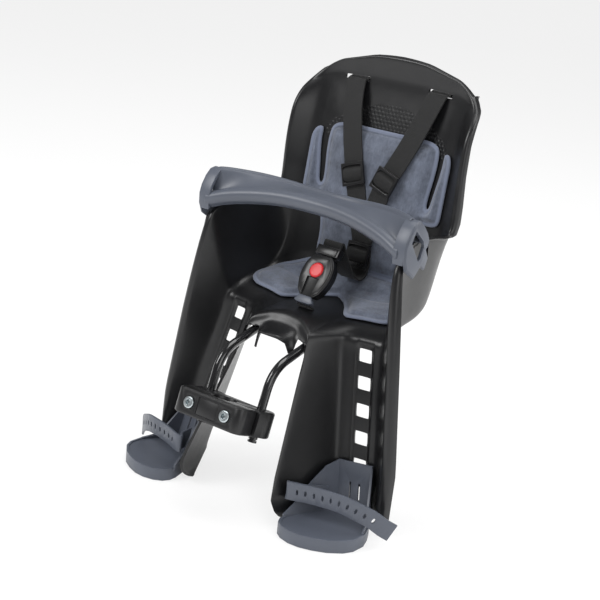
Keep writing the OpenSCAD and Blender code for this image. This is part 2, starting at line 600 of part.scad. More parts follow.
// Buckle, in its own frame: +Z along the buckle, -Y out of its face, origin on the button's middle
buckle_at = [0, 126, 119];
buckle_lean = 33;
buckle_outline = [[-9, -31], [9, -31], [15, -25], [19, -14], [20.5, -4], [19.5, 6], [16, 14], [11, 19], [-11, 19],
    [-16, 14], [-19.5, 6], [-20.5, -4], [-19, -14], [-15, -25]];
cover_t = 7;
base_t = 8;
button_r = 8.8;
button_gap = 0.06;
module on_buckle() {
    translate(to_bore) translate(buckle_at) rotate([-buckle_lean, 0, 0]) children();
}
module buckle_slab(scale_by, from, to) {
    translate([0, to, 0]) rotate([90, 0, 0]) linear_extrude(to - from)
        scaled_outline(buckle_outline, [0, -4], scale_by);
}
module buckle_cover()
    color([0.1, 0.1, 0.11])
    on_buckle()
    difference() {
        union() {
            buckle_slab(1, -cover_t + 2.2, 0);
            buckle_slab(0.95, -cover_t + 1, 0);
            buckle_slab(0.88, -cover_t, 0);
        }
        translate([0, 1, 0]) rotate([90, 0, 0]) cylinder(r = button_r + button_gap, h = 20, $fn = 64);
        translate([0, -cover_t + 2.6, 0]) rotate([90, 0, 0]) linear_extrude(10)
            polygon([[-6, -40], [6, -40], [8, -9], [-8, -9]]);
    }
module buckle_base()
    color([0.1, 0.1, 0.11])
    on_buckle()
    difference() {
        union() {
            buckle_slab(0.97, 0.2, base_t - 1.5);
            buckle_slab(0.9, 0.2, base_t);
        }
        translate([0, 6.2, 0]) rotate([90, 0, 0]) cylinder(r = button_r + 0.6, h = 10, $fn = 64);
        translate([-13, 2.2, 6]) cube([26, 3.4, 20]);
        translate([-7, 2, -40]) cube([14, 3, 20]);
    }
module buckle_button()
    color([0.78, 0.06, 0.09])
    on_buckle()
    rotate([90, 0, 0])
    union() {
        translate([0, 0, -0.4]) cylinder(r = button_r, h = cover_t + 0.8, $fn = 64);
        translate([0, 0, cover_t + 0.4]) cylinder(r1 = button_r, r2 = button_r - 1.4, h = 1, $fn = 64);
    }
module button_spring()
    color([0.6, 0.6, 0.62])
    on_buckle()
    for (turn = [0:2])
        translate([0, 5.5 - 1.05 * turn, 0])
        rotate([90, 0, 0])
        rotate_extrude($fn = 32)
        translate([5, 0])
        circle(r = 0.55, $fn = 16);

// Tongue: plate that slides into the buckle, with the loop that carries the webbing
module tongue()
    color([0.12, 0.12, 0.13])
    on_buckle()
    difference() {
        union() {
            translate([-11, 2.6, 8]) cube([22, 2.4, 16]);
            translate([-15.5, -3, 20.4]) cube([31, 9.4, 11]);
            translate([-13, -4, 21.4]) cube([26, 10.4, 9]);
        }
        translate([-13.6, 1, 24]) cube([27.2, 3, 10]);
    }

// Foot of the buckle and the strap that ties it to the seat floor
module buckle_foot()
    color([0.42, 0.45, 0.5])
    on_buckle()
    rotate([90, 0, 0])
    linear_extrude(6)
    polygon([[-8, -31.1], [8, -31.1], [13, -38], [9, -40], [-9, -40], [-13, -38]]);
crotch_path = [[0, 112, 79], [0, 108.5, 81.5], [0, 106, 83.5], [0, 105, 85]];
module crotch_strap()
    color([0.1, 0.1, 0.1])
    translate(to_bore)
    sheet(web_grid(crotch_path, [1, 0, 0], web_w * [-0.4, 0.4], [], 3), 0, web_t);

// Footrest: a tray with a skirt, a back wall against the ladder panel and two side walls
tray = [[102.4, 63.8], [95.2, 48], [89.4, 32], [84.2, 15], [80.4, 2], [80, -8], [84, -16], [93, -22], [106, -25],
    [119, -24], [133, -19], [147, -11], [159, 1], [164, 12], [164, 30], [158.5, 44], [150.5, 58], [142.5, 69.5]];
tray_top = -110;
tray_h = 14;
tray_floor = 3;
tray_wall = 2.4;
tray_middle = [121, 28];
foot_z = tray_top - 4;
inner_wall = [[[102.4, 63.8, foot_z], [95.7, 48, foot_z], [90, 32, foot_z], [84.4, 15, foot_z], [79.4, -3, foot_z]],
    [[92.5, 72.5, -60], [89, 53, -64], [85.5, 33, -78], [81.5, 15, -97], [78.5, -2, tray_top + 2]]];
outer_wall = [[[142.5, 69.5, foot_z], [150.5, 57.5, foot_z], [158, 44, foot_z], [163.5, 29, foot_z]],
    [[132.5, 79, -57], [142.5, 65, -80], [153, 47.5, -105], [163, 29, tray_top + 1]]];
wall_rows = [0, 0.3, 0.62, 1];
wall_steps = [0, 0.2, 0.36, 0.41, 0.63, 0.68, 0.84, 1];
back_wall = [for (v = wall_rows) [for (t = wall_steps)
    lerp(lerp(inner_wall[0][0], outer_wall[0][0], t), lerp(inner_wall[1][0], outer_wall[1][0], t), v)
    - [0, 0.4, 0]]];
module wall_sheets() {
    sheet(inner_wall, -tray_wall, 0);
    sheet(outer_wall, 0, tray_wall);
    sheet(back_wall, 0, tray_wall, [], function(r, c) r == 1 && (c == 2 || c == 4));
}
module tray_slab(k, from, to) {
    translate([0, 0, from]) linear_extrude(to - from) scaled_outline(tray, tray_middle, k);
}
module footrest()
    color([0.4, 0.43, 0.5])
    translate(to_bore) {
        difference() {
            tray_slab(1, tray_top - tray_h, tray_top);
            tray_slab(0.94, tray_top - 1.2, tray_top + 1);
            tray_slab(0.94, tray_top - tray_h - 1, tray_top - 1.2 - tray_floor);
        }
        wall_sheets();
    }
module footrest_right() footrest();
module footrest_left() mirror([1, 0, 0]) footrest();

// Toe strap: from inside the inner wall, round it and over the foot to the outer side, with fitting holes
toe_path = [[99.5, 44, -91], [93.5, 29, -88], [89, 18.5, -86], [80.5, 8.5, -83], [76.8, 3.6, -81.8], [80, 0.4, -81],
    [89, 2.2, -80.5], [102, 7, -80],
    [116, 11, -80], [130, 14, -80], [143, 19, -82], [155, 26, -87], [166.8, 35.2, -93.5], [176.4, 43.6, -102],
    [183.6, 52, -108.3]];
toe_holes = [for (k = [0:9]) [18 + 2 * k, 1, [0.12, 0.2], [0.88, 0.8], 0.45]];
module toe_strap()
    color([0.42, 0.45, 0.52])
    translate(to_bore)
    sheet(web_grid(toe_path, [0, 0, 1], strap_w * [-0.5, -0.2, 0.2, 0.5], [], 3), 0, strap_t, toe_holes);
module foot_strap_right() toe_strap();
module foot_strap_left() mirror([1, 0, 0]) toe_strap();

seat_shell();
back_pad();
seat_pad();
safety_bar();
bar_catch_left();
bar_catch_right();
clamp_rear();
clamp_front();
clamp_plate();
clamp_bolts();
clamp_nuts();
support_fork();
fork_saddle();
fork_screws();
footrest_left();
footrest_right();
foot_strap_left();
foot_strap_right();
shoulder_strap_left();
shoulder_strap_right();
slot_bar_left();
slot_bar_right();
adjuster_left();
adjuster_right();
adjuster_lower();
tongue();
buckle_cover();
buckle_base();
buckle_button();
button_spring();
buckle_foot();
crotch_strap();
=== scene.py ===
import json
import math
from functools import partial

import bmesh
import bpy
from bpy.props import FloatProperty, FloatVectorProperty, PointerProperty
from mathutils import Matrix, Vector
from mathutils.kdtree import KDTree

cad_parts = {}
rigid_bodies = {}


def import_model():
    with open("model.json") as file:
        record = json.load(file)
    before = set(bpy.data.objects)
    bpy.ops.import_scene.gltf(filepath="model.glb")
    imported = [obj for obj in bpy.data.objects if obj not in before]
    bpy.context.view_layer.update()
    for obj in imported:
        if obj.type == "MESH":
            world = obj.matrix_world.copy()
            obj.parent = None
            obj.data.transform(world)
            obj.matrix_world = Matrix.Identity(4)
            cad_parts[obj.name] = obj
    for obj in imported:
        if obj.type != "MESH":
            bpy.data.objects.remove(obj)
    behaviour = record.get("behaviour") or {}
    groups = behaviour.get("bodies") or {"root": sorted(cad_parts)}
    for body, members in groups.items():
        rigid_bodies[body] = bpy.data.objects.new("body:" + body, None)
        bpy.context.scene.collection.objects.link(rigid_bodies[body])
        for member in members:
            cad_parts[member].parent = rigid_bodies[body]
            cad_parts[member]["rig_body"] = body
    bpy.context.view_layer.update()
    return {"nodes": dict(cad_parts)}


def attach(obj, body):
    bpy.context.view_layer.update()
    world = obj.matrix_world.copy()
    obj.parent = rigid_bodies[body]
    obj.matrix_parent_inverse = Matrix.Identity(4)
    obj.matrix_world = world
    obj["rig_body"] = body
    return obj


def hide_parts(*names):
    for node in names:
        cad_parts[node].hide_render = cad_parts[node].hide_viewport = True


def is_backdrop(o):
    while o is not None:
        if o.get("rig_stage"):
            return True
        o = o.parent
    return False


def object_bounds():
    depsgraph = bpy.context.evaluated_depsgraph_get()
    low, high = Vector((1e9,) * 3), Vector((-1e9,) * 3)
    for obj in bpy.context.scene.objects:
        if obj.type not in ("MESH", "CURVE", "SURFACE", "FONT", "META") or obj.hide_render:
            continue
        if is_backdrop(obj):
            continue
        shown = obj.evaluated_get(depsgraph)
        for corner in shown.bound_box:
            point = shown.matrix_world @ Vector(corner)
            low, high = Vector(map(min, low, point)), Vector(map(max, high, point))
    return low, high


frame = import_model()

bl_info = {
    "name": "Child Bike Seat",
    "version": (1, 0, 0),
    "blender": (4, 5, 0),
    "location": "View3D > Sidebar > Bike Seat",
    "description": "Models and finishes a front child seat for a bicycle over its packed frame",
    "category": "Add Mesh",
}

MM = 0.001

# The moulding is drawn from the clamp's top; this carries it to the frame's origin in the stem bore
TO_BORE = Vector((0, 24, 10))


class Rails:
    """The guide rails of the part's source, in mm: twelve stations, down the back and over the seat."""

    centre = [
        (0, 238, 353), (0, 242, 330), (0, 240, 310), (0, 233, 280), (0, 226, 245), (0, 219, 205),
        (0, 211, 160), (0, 200, 112), (0, 178, 86), (0, 148, 80), (0, 115, 80), (0, 76, 82)]
    inner = [
        (38, 238, 351), (38, 242, 330), (38, 240, 310), (40, 233, 280), (40, 226, 245), (40, 219, 205),
        (40, 211, 160), (40, 199, 112), (40, 178, 86), (40, 148, 79), (40, 113, 78), (42, 62, 70)]
    fold = [
        (80, 236, 341), (81, 239, 328), (80, 237, 309), (72, 231, 280), (70, 225, 245), (70, 218, 205),
        (70, 210, 160), (68, 198, 113), (66, 178, 87), (66, 150, 81), (66, 122, 80), (66, 97, 68)]
    corner = [
        (91, 235, 335), (96, 235, 322), (98, 230, 306), (98, 223, 280), (99, 217, 245), (100, 211, 205),
        (102, 204, 162), (104, 194, 120), (108, 176, 94), (110, 150, 86), (111, 126, 82), (112, 105, 68)]
    rim = [
        (102, 234, 327), (112, 226, 313), (117, 212, 298), (118, 201, 278), (119, 197, 245), (119, 197, 212),
        (120, 194, 186), (121, 182, 182), (122, 164, 184), (123, 142, 186), (124, 112, 184), (127, 76, 160)]
    roll = [
        (1, 2, 1), (3, 2, 1), (4, 2, 1), (5, 2, 0), (5, 2, 0), (6, 2, 0),
        (5, 3, -2), (2, 2, -2), (2, 1, -1), (2, 1, -1), (3, 1, 0), (7, 1, 1)]
    lip = [
        (0, 7, 0), (0, 7, 0), (0, 7, 0), (0, 8, 0), (0, 8, 0), (0, 8, 0),
        (0, 7, -1), (1, 3, -1), (1, 2, -1), (1, 2, -1), (1, 3, -1), (3, 7, 0)]

    # The lip of the arch, and the rounded front end of a leg, as depth and height
    apron = [
        [(0, 72, 70), (13, 71, 70), (21, 70, 68), (27, 67, 67), (42, 61, 65)],
        [(0, 64, 66), (13, 64, 66), (20, 63, 65), (27, 62, 62), (43, 58.5, 59)],
        [(0, 42, 64), (12, 44, 63), (20, 50, 57), (26, 54, 38), (44, 50, 32)]]
    foot = [(-9, -96), (-4, -109), (3, -116), (11, -121), (19, -124)]
    foot_drops = [2, 4, 6]

    # Where rows are cut, and where points stand in a row as shares of its centre and its panel
    stations = [0, 0.5, 1, 1.22, 1.52, 1.85, 2.4, 3, 4, 5, 5.6, 6.2, 6.6, 7, 7.35, 7.7, 8, 8.5, 9, 9.6,
                10.2, 10.6, 11]
    centre_steps = [0, 0.3, 0.5, 0.62, 0.93]
    panel_steps = [0.2, 0.25, 0.3, 0.8, 0.85, 0.9]

    # The ladder of windows, and how far its panel is sunk
    window_count, window_top, pitch, window_h, recess = 6, 59, 29, 14, 2.4

    # Set-back of the rounded folds; the rolled edge and lip of a leg; depth, rise and fall of the top edge
    soft = 8
    leg_roll, leg_lip = (9, 2, 0), (2, 9, 0)
    top_depth, top_rise, top_fall, top_share = 8, 1.5, 0.02, 0.8


def lerp(a, b, t):
    """The point or number at t of the way from a to b."""
    return a + (b - a) * t


def along(rail, s):
    """A guide rail at station s, on a smooth curve through its points."""
    last = len(rail) - 1
    i = max(0, min(int(math.floor(s)), last - 1))
    t = s - i
    a, b, c, d = (Vector(rail[max(0, min(k, last))]) for k in (i - 1, i, i + 1, i + 2))
    bend, twist = 2 * a - 5 * b + 4 * c - d, 3 * b - a - 3 * c + d
    return 0.5 * ((2 * b) + (c - a) * t + bend * t * t + twist * t ** 3)


def corner_points(a, b, c, d, n):
    """n points round the corner b between a and c, set back by d but never by half of a side."""
    most = 0.42
    d = min(d, most * (a - b).length, most * (c - b).length)
    p, q = b + (a - b).normalized() * d, b + (c - b).normalized() * d
    return [lerp(lerp(p, b, i / (n - 1)), lerp(b, q, i / (n - 1)), i / (n - 1)) for i in range(n)]


def half_row(start, inner, fold, corner, rim, roll, lip, recess):
    """One half row of the shell, from the centre to the lip of the rolled rim."""
    edge = rim + roll
    end = edge + lip
    back = (corner - fold).cross(Vector((0, 0.17, 1))).normalized()
    fold_pts = corner_points(inner, fold, corner, Rails.soft, 4)
    corner_pts = corner_points(fold, corner, rim, Rails.soft, 4)
    a, b = fold_pts[3], corner_pts[0]
    panel = [lerp(a, b, t) - back * (recess if 0 < i < 5 else 0) for i, t in enumerate(Rails.panel_steps)]
    turn = roll.length * 0.45
    return (start + [inner + Vector((-2, 0, 0)), inner + (fold - inner).normalized() * 3] + fold_pts + panel
            + corner_pts + corner_points(corner, rim, edge, turn, 3)
            + corner_points(rim, edge, end, turn, 3) + [end])


def upper_row(s):
    """A half row above the legs, at station s."""
    c, i = along(Rails.centre, s), along(Rails.inner, s)
    start = [Vector((i.x * t, lerp(c.y, i.y, t * t), lerp(c.z, i.z, t * t))) for t in Rails.centre_steps]
    return half_row(start, i, along(Rails.fold, s), along(Rails.corner, s), along(Rails.rim, s),
                    along(Rails.roll, s), along(Rails.lip, s), 0)


def leg_heights():
    """Heights of the leg rows: the windows' edges from the top one down, then the rounded foot."""
    tops = [Rails.window_top - w * Rails.pitch for w in range(Rails.window_count)]
    edges = [top - e for top in tops for e in (0, Rails.window_h)]
    return edges + [edges[-1] - drop for drop in Rails.foot_drops]


def leaning(z, value, height, slope):
    """A line of a leg at height z: its value at another height, and its slope from there."""
    return value + slope * (z - height)


def leg_row(k):
    """A half row of one leg channel, with the ladder panel sunk into its back wall."""
    z = leg_heights()[k]
    i = Vector((leaning(z, 51.5, 10, -0.155), leaning(z, 36, 10, 0.45), z - 2))
    fold = Vector((leaning(z, 66, 52, -0.19), leaning(z, 95, 52, 0.17), z))
    corner = Vector((leaning(z, 113, 52, -0.19), leaning(z, 103, 52, 0.17), z))
    rim = Vector((leaning(max(z, -55), 141, 55, -0.13), leaning(z, 65, 10, 0.05), z))
    tail = k - (2 * Rails.window_count - 2)
    if tail >= 0:
        i = Vector((i.x + 2, *Rails.foot[tail]))
    start = [Vector(p) for p in Rails.apron[k]] if k < 3 else [i - Vector((2.5, 0, 0))] * 5
    recess = Rails.recess if k < 2 * Rails.window_count else 0
    return half_row(start, i, fold, corner, rim, Vector(Rails.leg_roll), Vector(Rails.leg_lip), recess)


def top_row(s):
    """The rolled edge over the top of the back."""
    row = upper_row(0)
    face = len(row) - 8
    deepest = row[-1].y + 1
    rear = [p.y + Rails.top_depth if j <= face else lerp(p.y, deepest, Rails.top_share)
            for j, p in enumerate(row)]
    return [Vector((p.x, lerp(p.y, y, s), p.z + (Rails.top_rise - Rails.top_fall * p.x) * s))
            for p, y in zip(row, rear)]


def shell_rows():
    """All half rows of the shell, from the top edge down to the feet."""
    return ([top_row(1), top_row(0.5)] + [upper_row(s) for s in Rails.stations]
            + [leg_row(k) for k in range(len(leg_heights()))])


def on_shell(s, x):
    """The point of the shell's inner face at station s, over x."""
    row = upper_row(s)
    i = max(k for k in range(len(row) - 7) if row[k].x <= abs(x))
    p = lerp(row[i], row[i + 1], (abs(x) - row[i].x) / (row[i + 1].x - row[i].x))
    return Vector((-p.x if x < 0 else p.x, p.y, p.z))


def clear_selection():
    """Leaves object mode with nothing selected."""
    if bpy.context.object and bpy.context.object.mode != "OBJECT":
        bpy.ops.object.mode_set(mode="OBJECT")
    bpy.ops.object.select_all(action="DESELECT")


def make_active(obj):
    """Selects obj alone."""
    clear_selection()
    obj.select_set(True)
    bpy.context.view_layer.objects.active = obj


def lofted(name, rows):
    """A grid primitive whose points are laid on the given rows, in mm of the moulding."""
    clear_selection()
    across, down = len(rows[0]), len(rows)
    bpy.ops.mesh.primitive_grid_add(x_subdivisions=across - 1, y_subdivisions=down - 1, size=1)
    obj = bpy.context.object
    obj.name = obj.data.name = name
    if len(obj.data.vertices) != across * down:
        raise RuntimeError(f"the grid for {name} has {len(obj.data.vertices)} points, not {across * down}")
    flat = [c for row in rows for p in row for c in (p + TO_BORE) * MM]
    obj.data.vertices.foreach_set("co", flat)
    obj.data.update()
    return obj


def cut_faces(obj, columns, drop):
    """Deletes the faces of a lofted grid for which drop(row, column) is true."""
    make_active(obj)
    mesh = bmesh.new()
    mesh.from_mesh(obj.data)
    mesh.faces.ensure_lookup_table()
    gone = [f for f in mesh.faces if drop(f.index // (columns - 1), f.index % (columns - 1))]
    bmesh.ops.delete(mesh, geom=gone, context="FACES")
    mesh.to_mesh(obj.data)
    mesh.free()


def merge(obj, distance=0.00002, outward=True):
    """Merges doubled points and turns the faces outwards."""
    make_active(obj)
    bpy.ops.object.mode_set(mode="EDIT")
    bpy.ops.mesh.select_all(action="SELECT")
    bpy.ops.mesh.remove_doubles(threshold=distance)
    if outward:
        bpy.ops.mesh.normals_make_consistent(inside=False)
    bpy.ops.object.mode_set(mode="OBJECT")


def flip_faces(obj):
    """Turns every face of a piece the other way."""
    make_active(obj)
    bpy.ops.object.mode_set(mode="EDIT")
    bpy.ops.mesh.select_all(action="SELECT")
    bpy.ops.mesh.flip_normals()
    bpy.ops.object.mode_set(mode="OBJECT")


def apply_all(obj):
    """Applies every modifier in order."""
    make_active(obj)
    for m in list(obj.modifiers):
        bpy.ops.object.modifier_apply(modifier=m.name)


def smooth(obj, angle):
    """Shades smooth across edges flatter than the angle."""
    make_active(obj)
    bpy.ops.object.shade_smooth_by_angle(angle=math.radians(angle))


def thicken(obj, depth, offset, crease=0.0):
    """Gives a sheet its thickness; offset -1 goes against the faces and 1 along them."""
    m = obj.modifiers.new("Wall", "SOLIDIFY")
    m.thickness, m.offset = depth, offset
    m.use_even_offset = False
    m.edge_crease_inner = m.edge_crease_outer = m.edge_crease_rim = crease
    return m


def rounded(obj, levels):
    """Subdivides a sheet so that its faces turn into smooth curves."""
    m = obj.modifiers.new("Round", "SUBSURF")
    m.levels = m.render_levels = levels


def soften(obj, width, angle, segments):
    """Breaks the sharp edges with a small bevel."""
    m = obj.modifiers.new("Edge", "BEVEL")
    m.width, m.segments = width, segments
    m.limit_method, m.angle_limit = "ANGLE", math.radians(angle)
    m.harden_normals = False


def dressed(node, name, edge, segments=2):
    """A copy of a CAD node with its doubles merged and its edges broken, standing for the node."""
    source = frame["nodes"][node]
    obj = bpy.data.objects.new(name, source.data.copy())
    bpy.context.scene.collection.objects.link(obj)
    obj.data.materials.clear()
    merge(obj)
    make_active(obj)
    bpy.ops.object.mode_set(mode="EDIT")
    bpy.ops.mesh.select_all(action="SELECT")
    bpy.ops.mesh.dissolve_limited(angle_limit=math.radians(2))
    bpy.ops.object.mode_set(mode="OBJECT")
    soften(obj, edge, 35, segments)
    apply_all(obj)
    smooth(obj, 38)
    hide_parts(node)
    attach(obj, source["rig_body"])
    return obj


def finish_with(obj, material):
    """Gives the whole piece one material."""
    obj.data.materials.clear()
    obj.data.materials.append(bpy.data.materials[material])


class SeatFinish(bpy.types.PropertyGroup):
    """Colours of the seat's plastics, fabrics and metals."""

    shell: FloatVectorProperty(name="Shell", description="Colour of the moulded shell", subtype="COLOR",
                               size=4, default=(0.0075, 0.0076, 0.0085, 1), min=0, max=1)
    trim: FloatVectorProperty(name="Trim", description="Colour of the bar, the footrests and the toe straps",
                              subtype="COLOR", size=4, default=(0.078, 0.088, 0.112, 1), min=0, max=1)
    pad: FloatVectorProperty(name="Pad", description="Colour of the brushed pad fabric", subtype="COLOR",
                             size=4, default=(0.105, 0.12, 0.158, 1), min=0, max=1)
    border: FloatVectorProperty(name="Pad border", description="Colour of the welded border of the pads",
                                subtype="COLOR", size=4, default=(0.15, 0.172, 0.235, 1), min=0, max=1)
    webbing: FloatVectorProperty(name="Webbing", description="Colour of the woven harness webbing",
                                 subtype="COLOR", size=4, default=(0.0042, 0.0042, 0.0046, 1), min=0, max=1)
    fitting: FloatVectorProperty(name="Fittings", description="Colour of the buckle and the adjusters",
                                 subtype="COLOR", size=4, default=(0.007, 0.007, 0.0078, 1), min=0, max=1)
    button: FloatVectorProperty(name="Button", description="Colour of the release button", subtype="COLOR",
                                size=4, default=(0.6, 0.008, 0.014, 1), min=0, max=1)
    paint: FloatVectorProperty(name="Fork", description="Colour of the coated support fork", subtype="COLOR",
                               size=4, default=(0.009, 0.009, 0.010, 1), min=0, max=1)


class SeatSizes(bpy.types.PropertyGroup):
    """Sizes that the finishing pieces use."""

    wall: FloatProperty(name="Shell wall", description="Thickness of the moulded shell", default=3 * MM,
                        min=0.002, max=0.004, unit="LENGTH", subtype="DISTANCE")
    bar_wall: FloatProperty(name="Bar wall", description="Thickness of the safety bar's moulding",
                            default=2.6 * MM, min=0.002, max=0.004, unit="LENGTH", subtype="DISTANCE")
    webbing_width: FloatProperty(name="Webbing width", description="Width of the harness webbing",
                                 default=25 * MM, min=0.02, max=0.03, unit="LENGTH", subtype="DISTANCE")
    webbing_thickness: FloatProperty(name="Webbing thickness", description="Thickness of the harness webbing",
                                     default=1.6 * MM, min=0.001, max=0.002, unit="LENGTH",
                                     subtype="DISTANCE")
    pad_body: FloatProperty(name="Pad body", description="Thickness of the pads inside their borders",
                            default=7.5 * MM, min=0.004, max=0.012, unit="LENGTH", subtype="DISTANCE")
    pad_gap: FloatProperty(name="Pad gap", description="Room between a pad and the shell behind it",
                           default=0.8 * MM, min=0, max=0.002, unit="LENGTH", subtype="DISTANCE")
    pad_swell: FloatProperty(name="Pad swell", description="How far the pads may swell over their solids",
                             default=3 * MM, min=0, max=0.006, unit="LENGTH", subtype="DISTANCE")


def node_group(name, inputs, outputs):
    """A new shader node group with the given sockets, and its two ends."""
    group = bpy.data.node_groups.new(name, "ShaderNodeTree")
    for label, kind, value in inputs:
        s = group.interface.new_socket(name=label, in_out="INPUT", socket_type=kind)
        if value is not None:
            s.default_value = value
    for label, kind in outputs:
        group.interface.new_socket(name=label, in_out="OUTPUT", socket_type=kind)
    return group, group.nodes.new("NodeGroupInput"), group.nodes.new("NodeGroupOutput")


def math_node(tree, operation, a, b=None, c=None):
    """A Math node on the given sockets or numbers; returns its output."""
    n = tree.nodes.new("ShaderNodeMath")
    n.operation = operation
    for i, v in enumerate((a, b, c)):
        if v is None:
            continue
        if isinstance(v, (int, float)):
            n.inputs[i].default_value = v
        else:
            tree.links.new(v, n.inputs[i])
    return n.outputs[0]


def noise_node(tree, vector, scale, detail=2.0, rough=0.5):
    """A Noise Texture on a vector; scale is a number or a socket."""
    n = tree.nodes.new("ShaderNodeTexNoise")
    tree.links.new(vector, n.inputs["Vector"])
    if isinstance(scale, (int, float)):
        n.inputs["Scale"].default_value = scale
    else:
        tree.links.new(scale, n.inputs["Scale"])
    n.inputs["Detail"].default_value = detail
    n.inputs["Roughness"].default_value = rough
    return n.outputs["Fac"]


def mix_colour(tree, factor, a, b):
    """Mixes two colours, given as sockets or values."""
    n = tree.nodes.new("ShaderNodeMix")
    n.data_type = "RGBA"
    for i, v in ((0, factor), (6, a), (7, b)):
        if isinstance(v, (int, float, tuple)):
            n.inputs[i].default_value = v
        else:
            tree.links.new(v, n.inputs[i])
    return n.outputs[2]


def ramp_node(tree, value, low, high, kind="LINEAR"):
    """0 where a socket's value is at low, 1 where it is at high."""
    n = tree.nodes.new("ShaderNodeMapRange")
    n.interpolation_type = kind
    tree.links.new(value, n.inputs["Value"])
    n.inputs["From Min"].default_value = low
    n.inputs["From Max"].default_value = high
    return n.outputs["Result"]


def shade_node(tree, colour, value):
    """A colour socket made lighter or darker; value is a number or a socket."""
    n = tree.nodes.new("ShaderNodeHueSaturation")
    tree.links.new(colour, n.inputs["Color"])
    if isinstance(value, (int, float)):
        n.inputs["Value"].default_value = value
    else:
        tree.links.new(value, n.inputs["Value"])
    return n.outputs["Color"]


def group_node(tree, name, socket, source):
    """A node of the named group, with one of its inputs linked to a source."""
    n = tree.nodes.new("ShaderNodeGroup")
    n.node_tree = bpy.data.node_groups[name]
    tree.links.new(source, n.inputs[socket])
    return n


def set_inputs(node, values):
    """Sets a node's inputs to constants."""
    for name, value in values.items():
        node.inputs[name].default_value = value


def build_moulded_skin():
    """Moulded plastic: fine spark grain, faint flow marks, and a painted highlight that makes the convex
    edges paler.
    """
    group, start, end = node_group(
        "Moulded Skin",
        [("Vector", "NodeSocketVector", None), ("Colour", "NodeSocketColor", (0.1, 0.1, 0.1, 1)),
         ("Grain Scale", "NodeSocketFloat", 1500.0), ("Roughness", "NodeSocketFloat", 0.35),
         ("Edge Highlight", "NodeSocketFloat", 0.25)],
        [("Colour", "NodeSocketColor"), ("Roughness", "NodeSocketFloat"), ("Height", "NodeSocketFloat")])
    calc = partial(math_node, group)
    grain = noise_node(group, start.outputs["Vector"], start.outputs["Grain Scale"], 3.0, 0.6)
    flow = noise_node(group, start.outputs["Vector"], 14.0, 3.0, 0.55)
    marks = noise_node(group, start.outputs["Vector"], 90.0, 4.0, 0.65)
    # Painted highlight: convex edges, found by pointiness and broken up by fine noise, are mixed towards a
    # colour 2.2 times lighter.
    edge = group.nodes.new("ShaderNodeNewGeometry").outputs["Pointiness"]
    convex_edge_mask = ramp_node(group, edge, 0.53, 0.62)
    painted_edge_highlight = calc("MULTIPLY", calc("MULTIPLY", convex_edge_mask, marks), start.outputs["Edge Highlight"])
    lighter = shade_node(group, start.outputs["Colour"], 2.2)
    shade = shade_node(group, start.outputs["Colour"], calc("MULTIPLY_ADD", flow, 0.22, 0.89))
    group.links.new(mix_colour(group, painted_edge_highlight, shade, lighter), end.inputs["Colour"])
    wander = calc("MULTIPLY_ADD", calc("SUBTRACT", marks, 0.5), 0.14,
                  calc("MULTIPLY_ADD", flow, 0.1, start.outputs["Roughness"]))
    group.links.new(calc("SUBTRACT", wander, 0.05), end.inputs["Roughness"])
    group.links.new(grain, end.inputs["Height"])


def build_dimple_field():
    """Rows of small dimples inside an arched band on the back of the shell, in metres."""
    row_pitch, dimple_pitch = 0.0044, 0.0052
    arch_top, arch_curve, half_width, arch_foot = 0.309, 4.6, 0.083, 0.262
    group, start, end = node_group("Dimple Field", [("Vector", "NodeSocketVector", None)],
                                   [("Height", "NodeSocketFloat")])
    calc = partial(math_node, group)
    split = group.nodes.new("ShaderNodeSeparateXYZ")
    group.links.new(start.outputs["Vector"], split.inputs[0])
    x, z = split.outputs["X"], split.outputs["Z"]
    row = calc("DIVIDE", z, row_pitch)
    shift = calc("MULTIPLY", calc("MODULO", calc("FLOOR", row), 2.0), 0.5)
    u = calc("SUBTRACT", calc("FRACT", calc("ADD", calc("DIVIDE", x, dimple_pitch), shift)), 0.5)
    v = calc("SUBTRACT", calc("FRACT", row), 0.5)
    u_square, v_square = (calc("POWER", calc("ABSOLUTE", w), 2.0) for w in (u, v))
    far = calc("SQRT", calc("ADD", u_square, v_square))
    dot = ramp_node(group, far, 0.2, 0.42, "SMOOTHSTEP")
    away = calc("ABSOLUTE", x)
    arch = calc("SUBTRACT", arch_top, calc("MULTIPLY", calc("POWER", away, 2.0), arch_curve))
    below = calc("LESS_THAN", z, arch)
    wide = calc("LESS_THAN", away, half_width)
    above = calc("GREATER_THAN", z, arch_foot)
    mask = calc("MULTIPLY", calc("MULTIPLY", below, wide), above)
    group.links.new(calc("MULTIPLY", dot, mask), end.inputs["Height"])


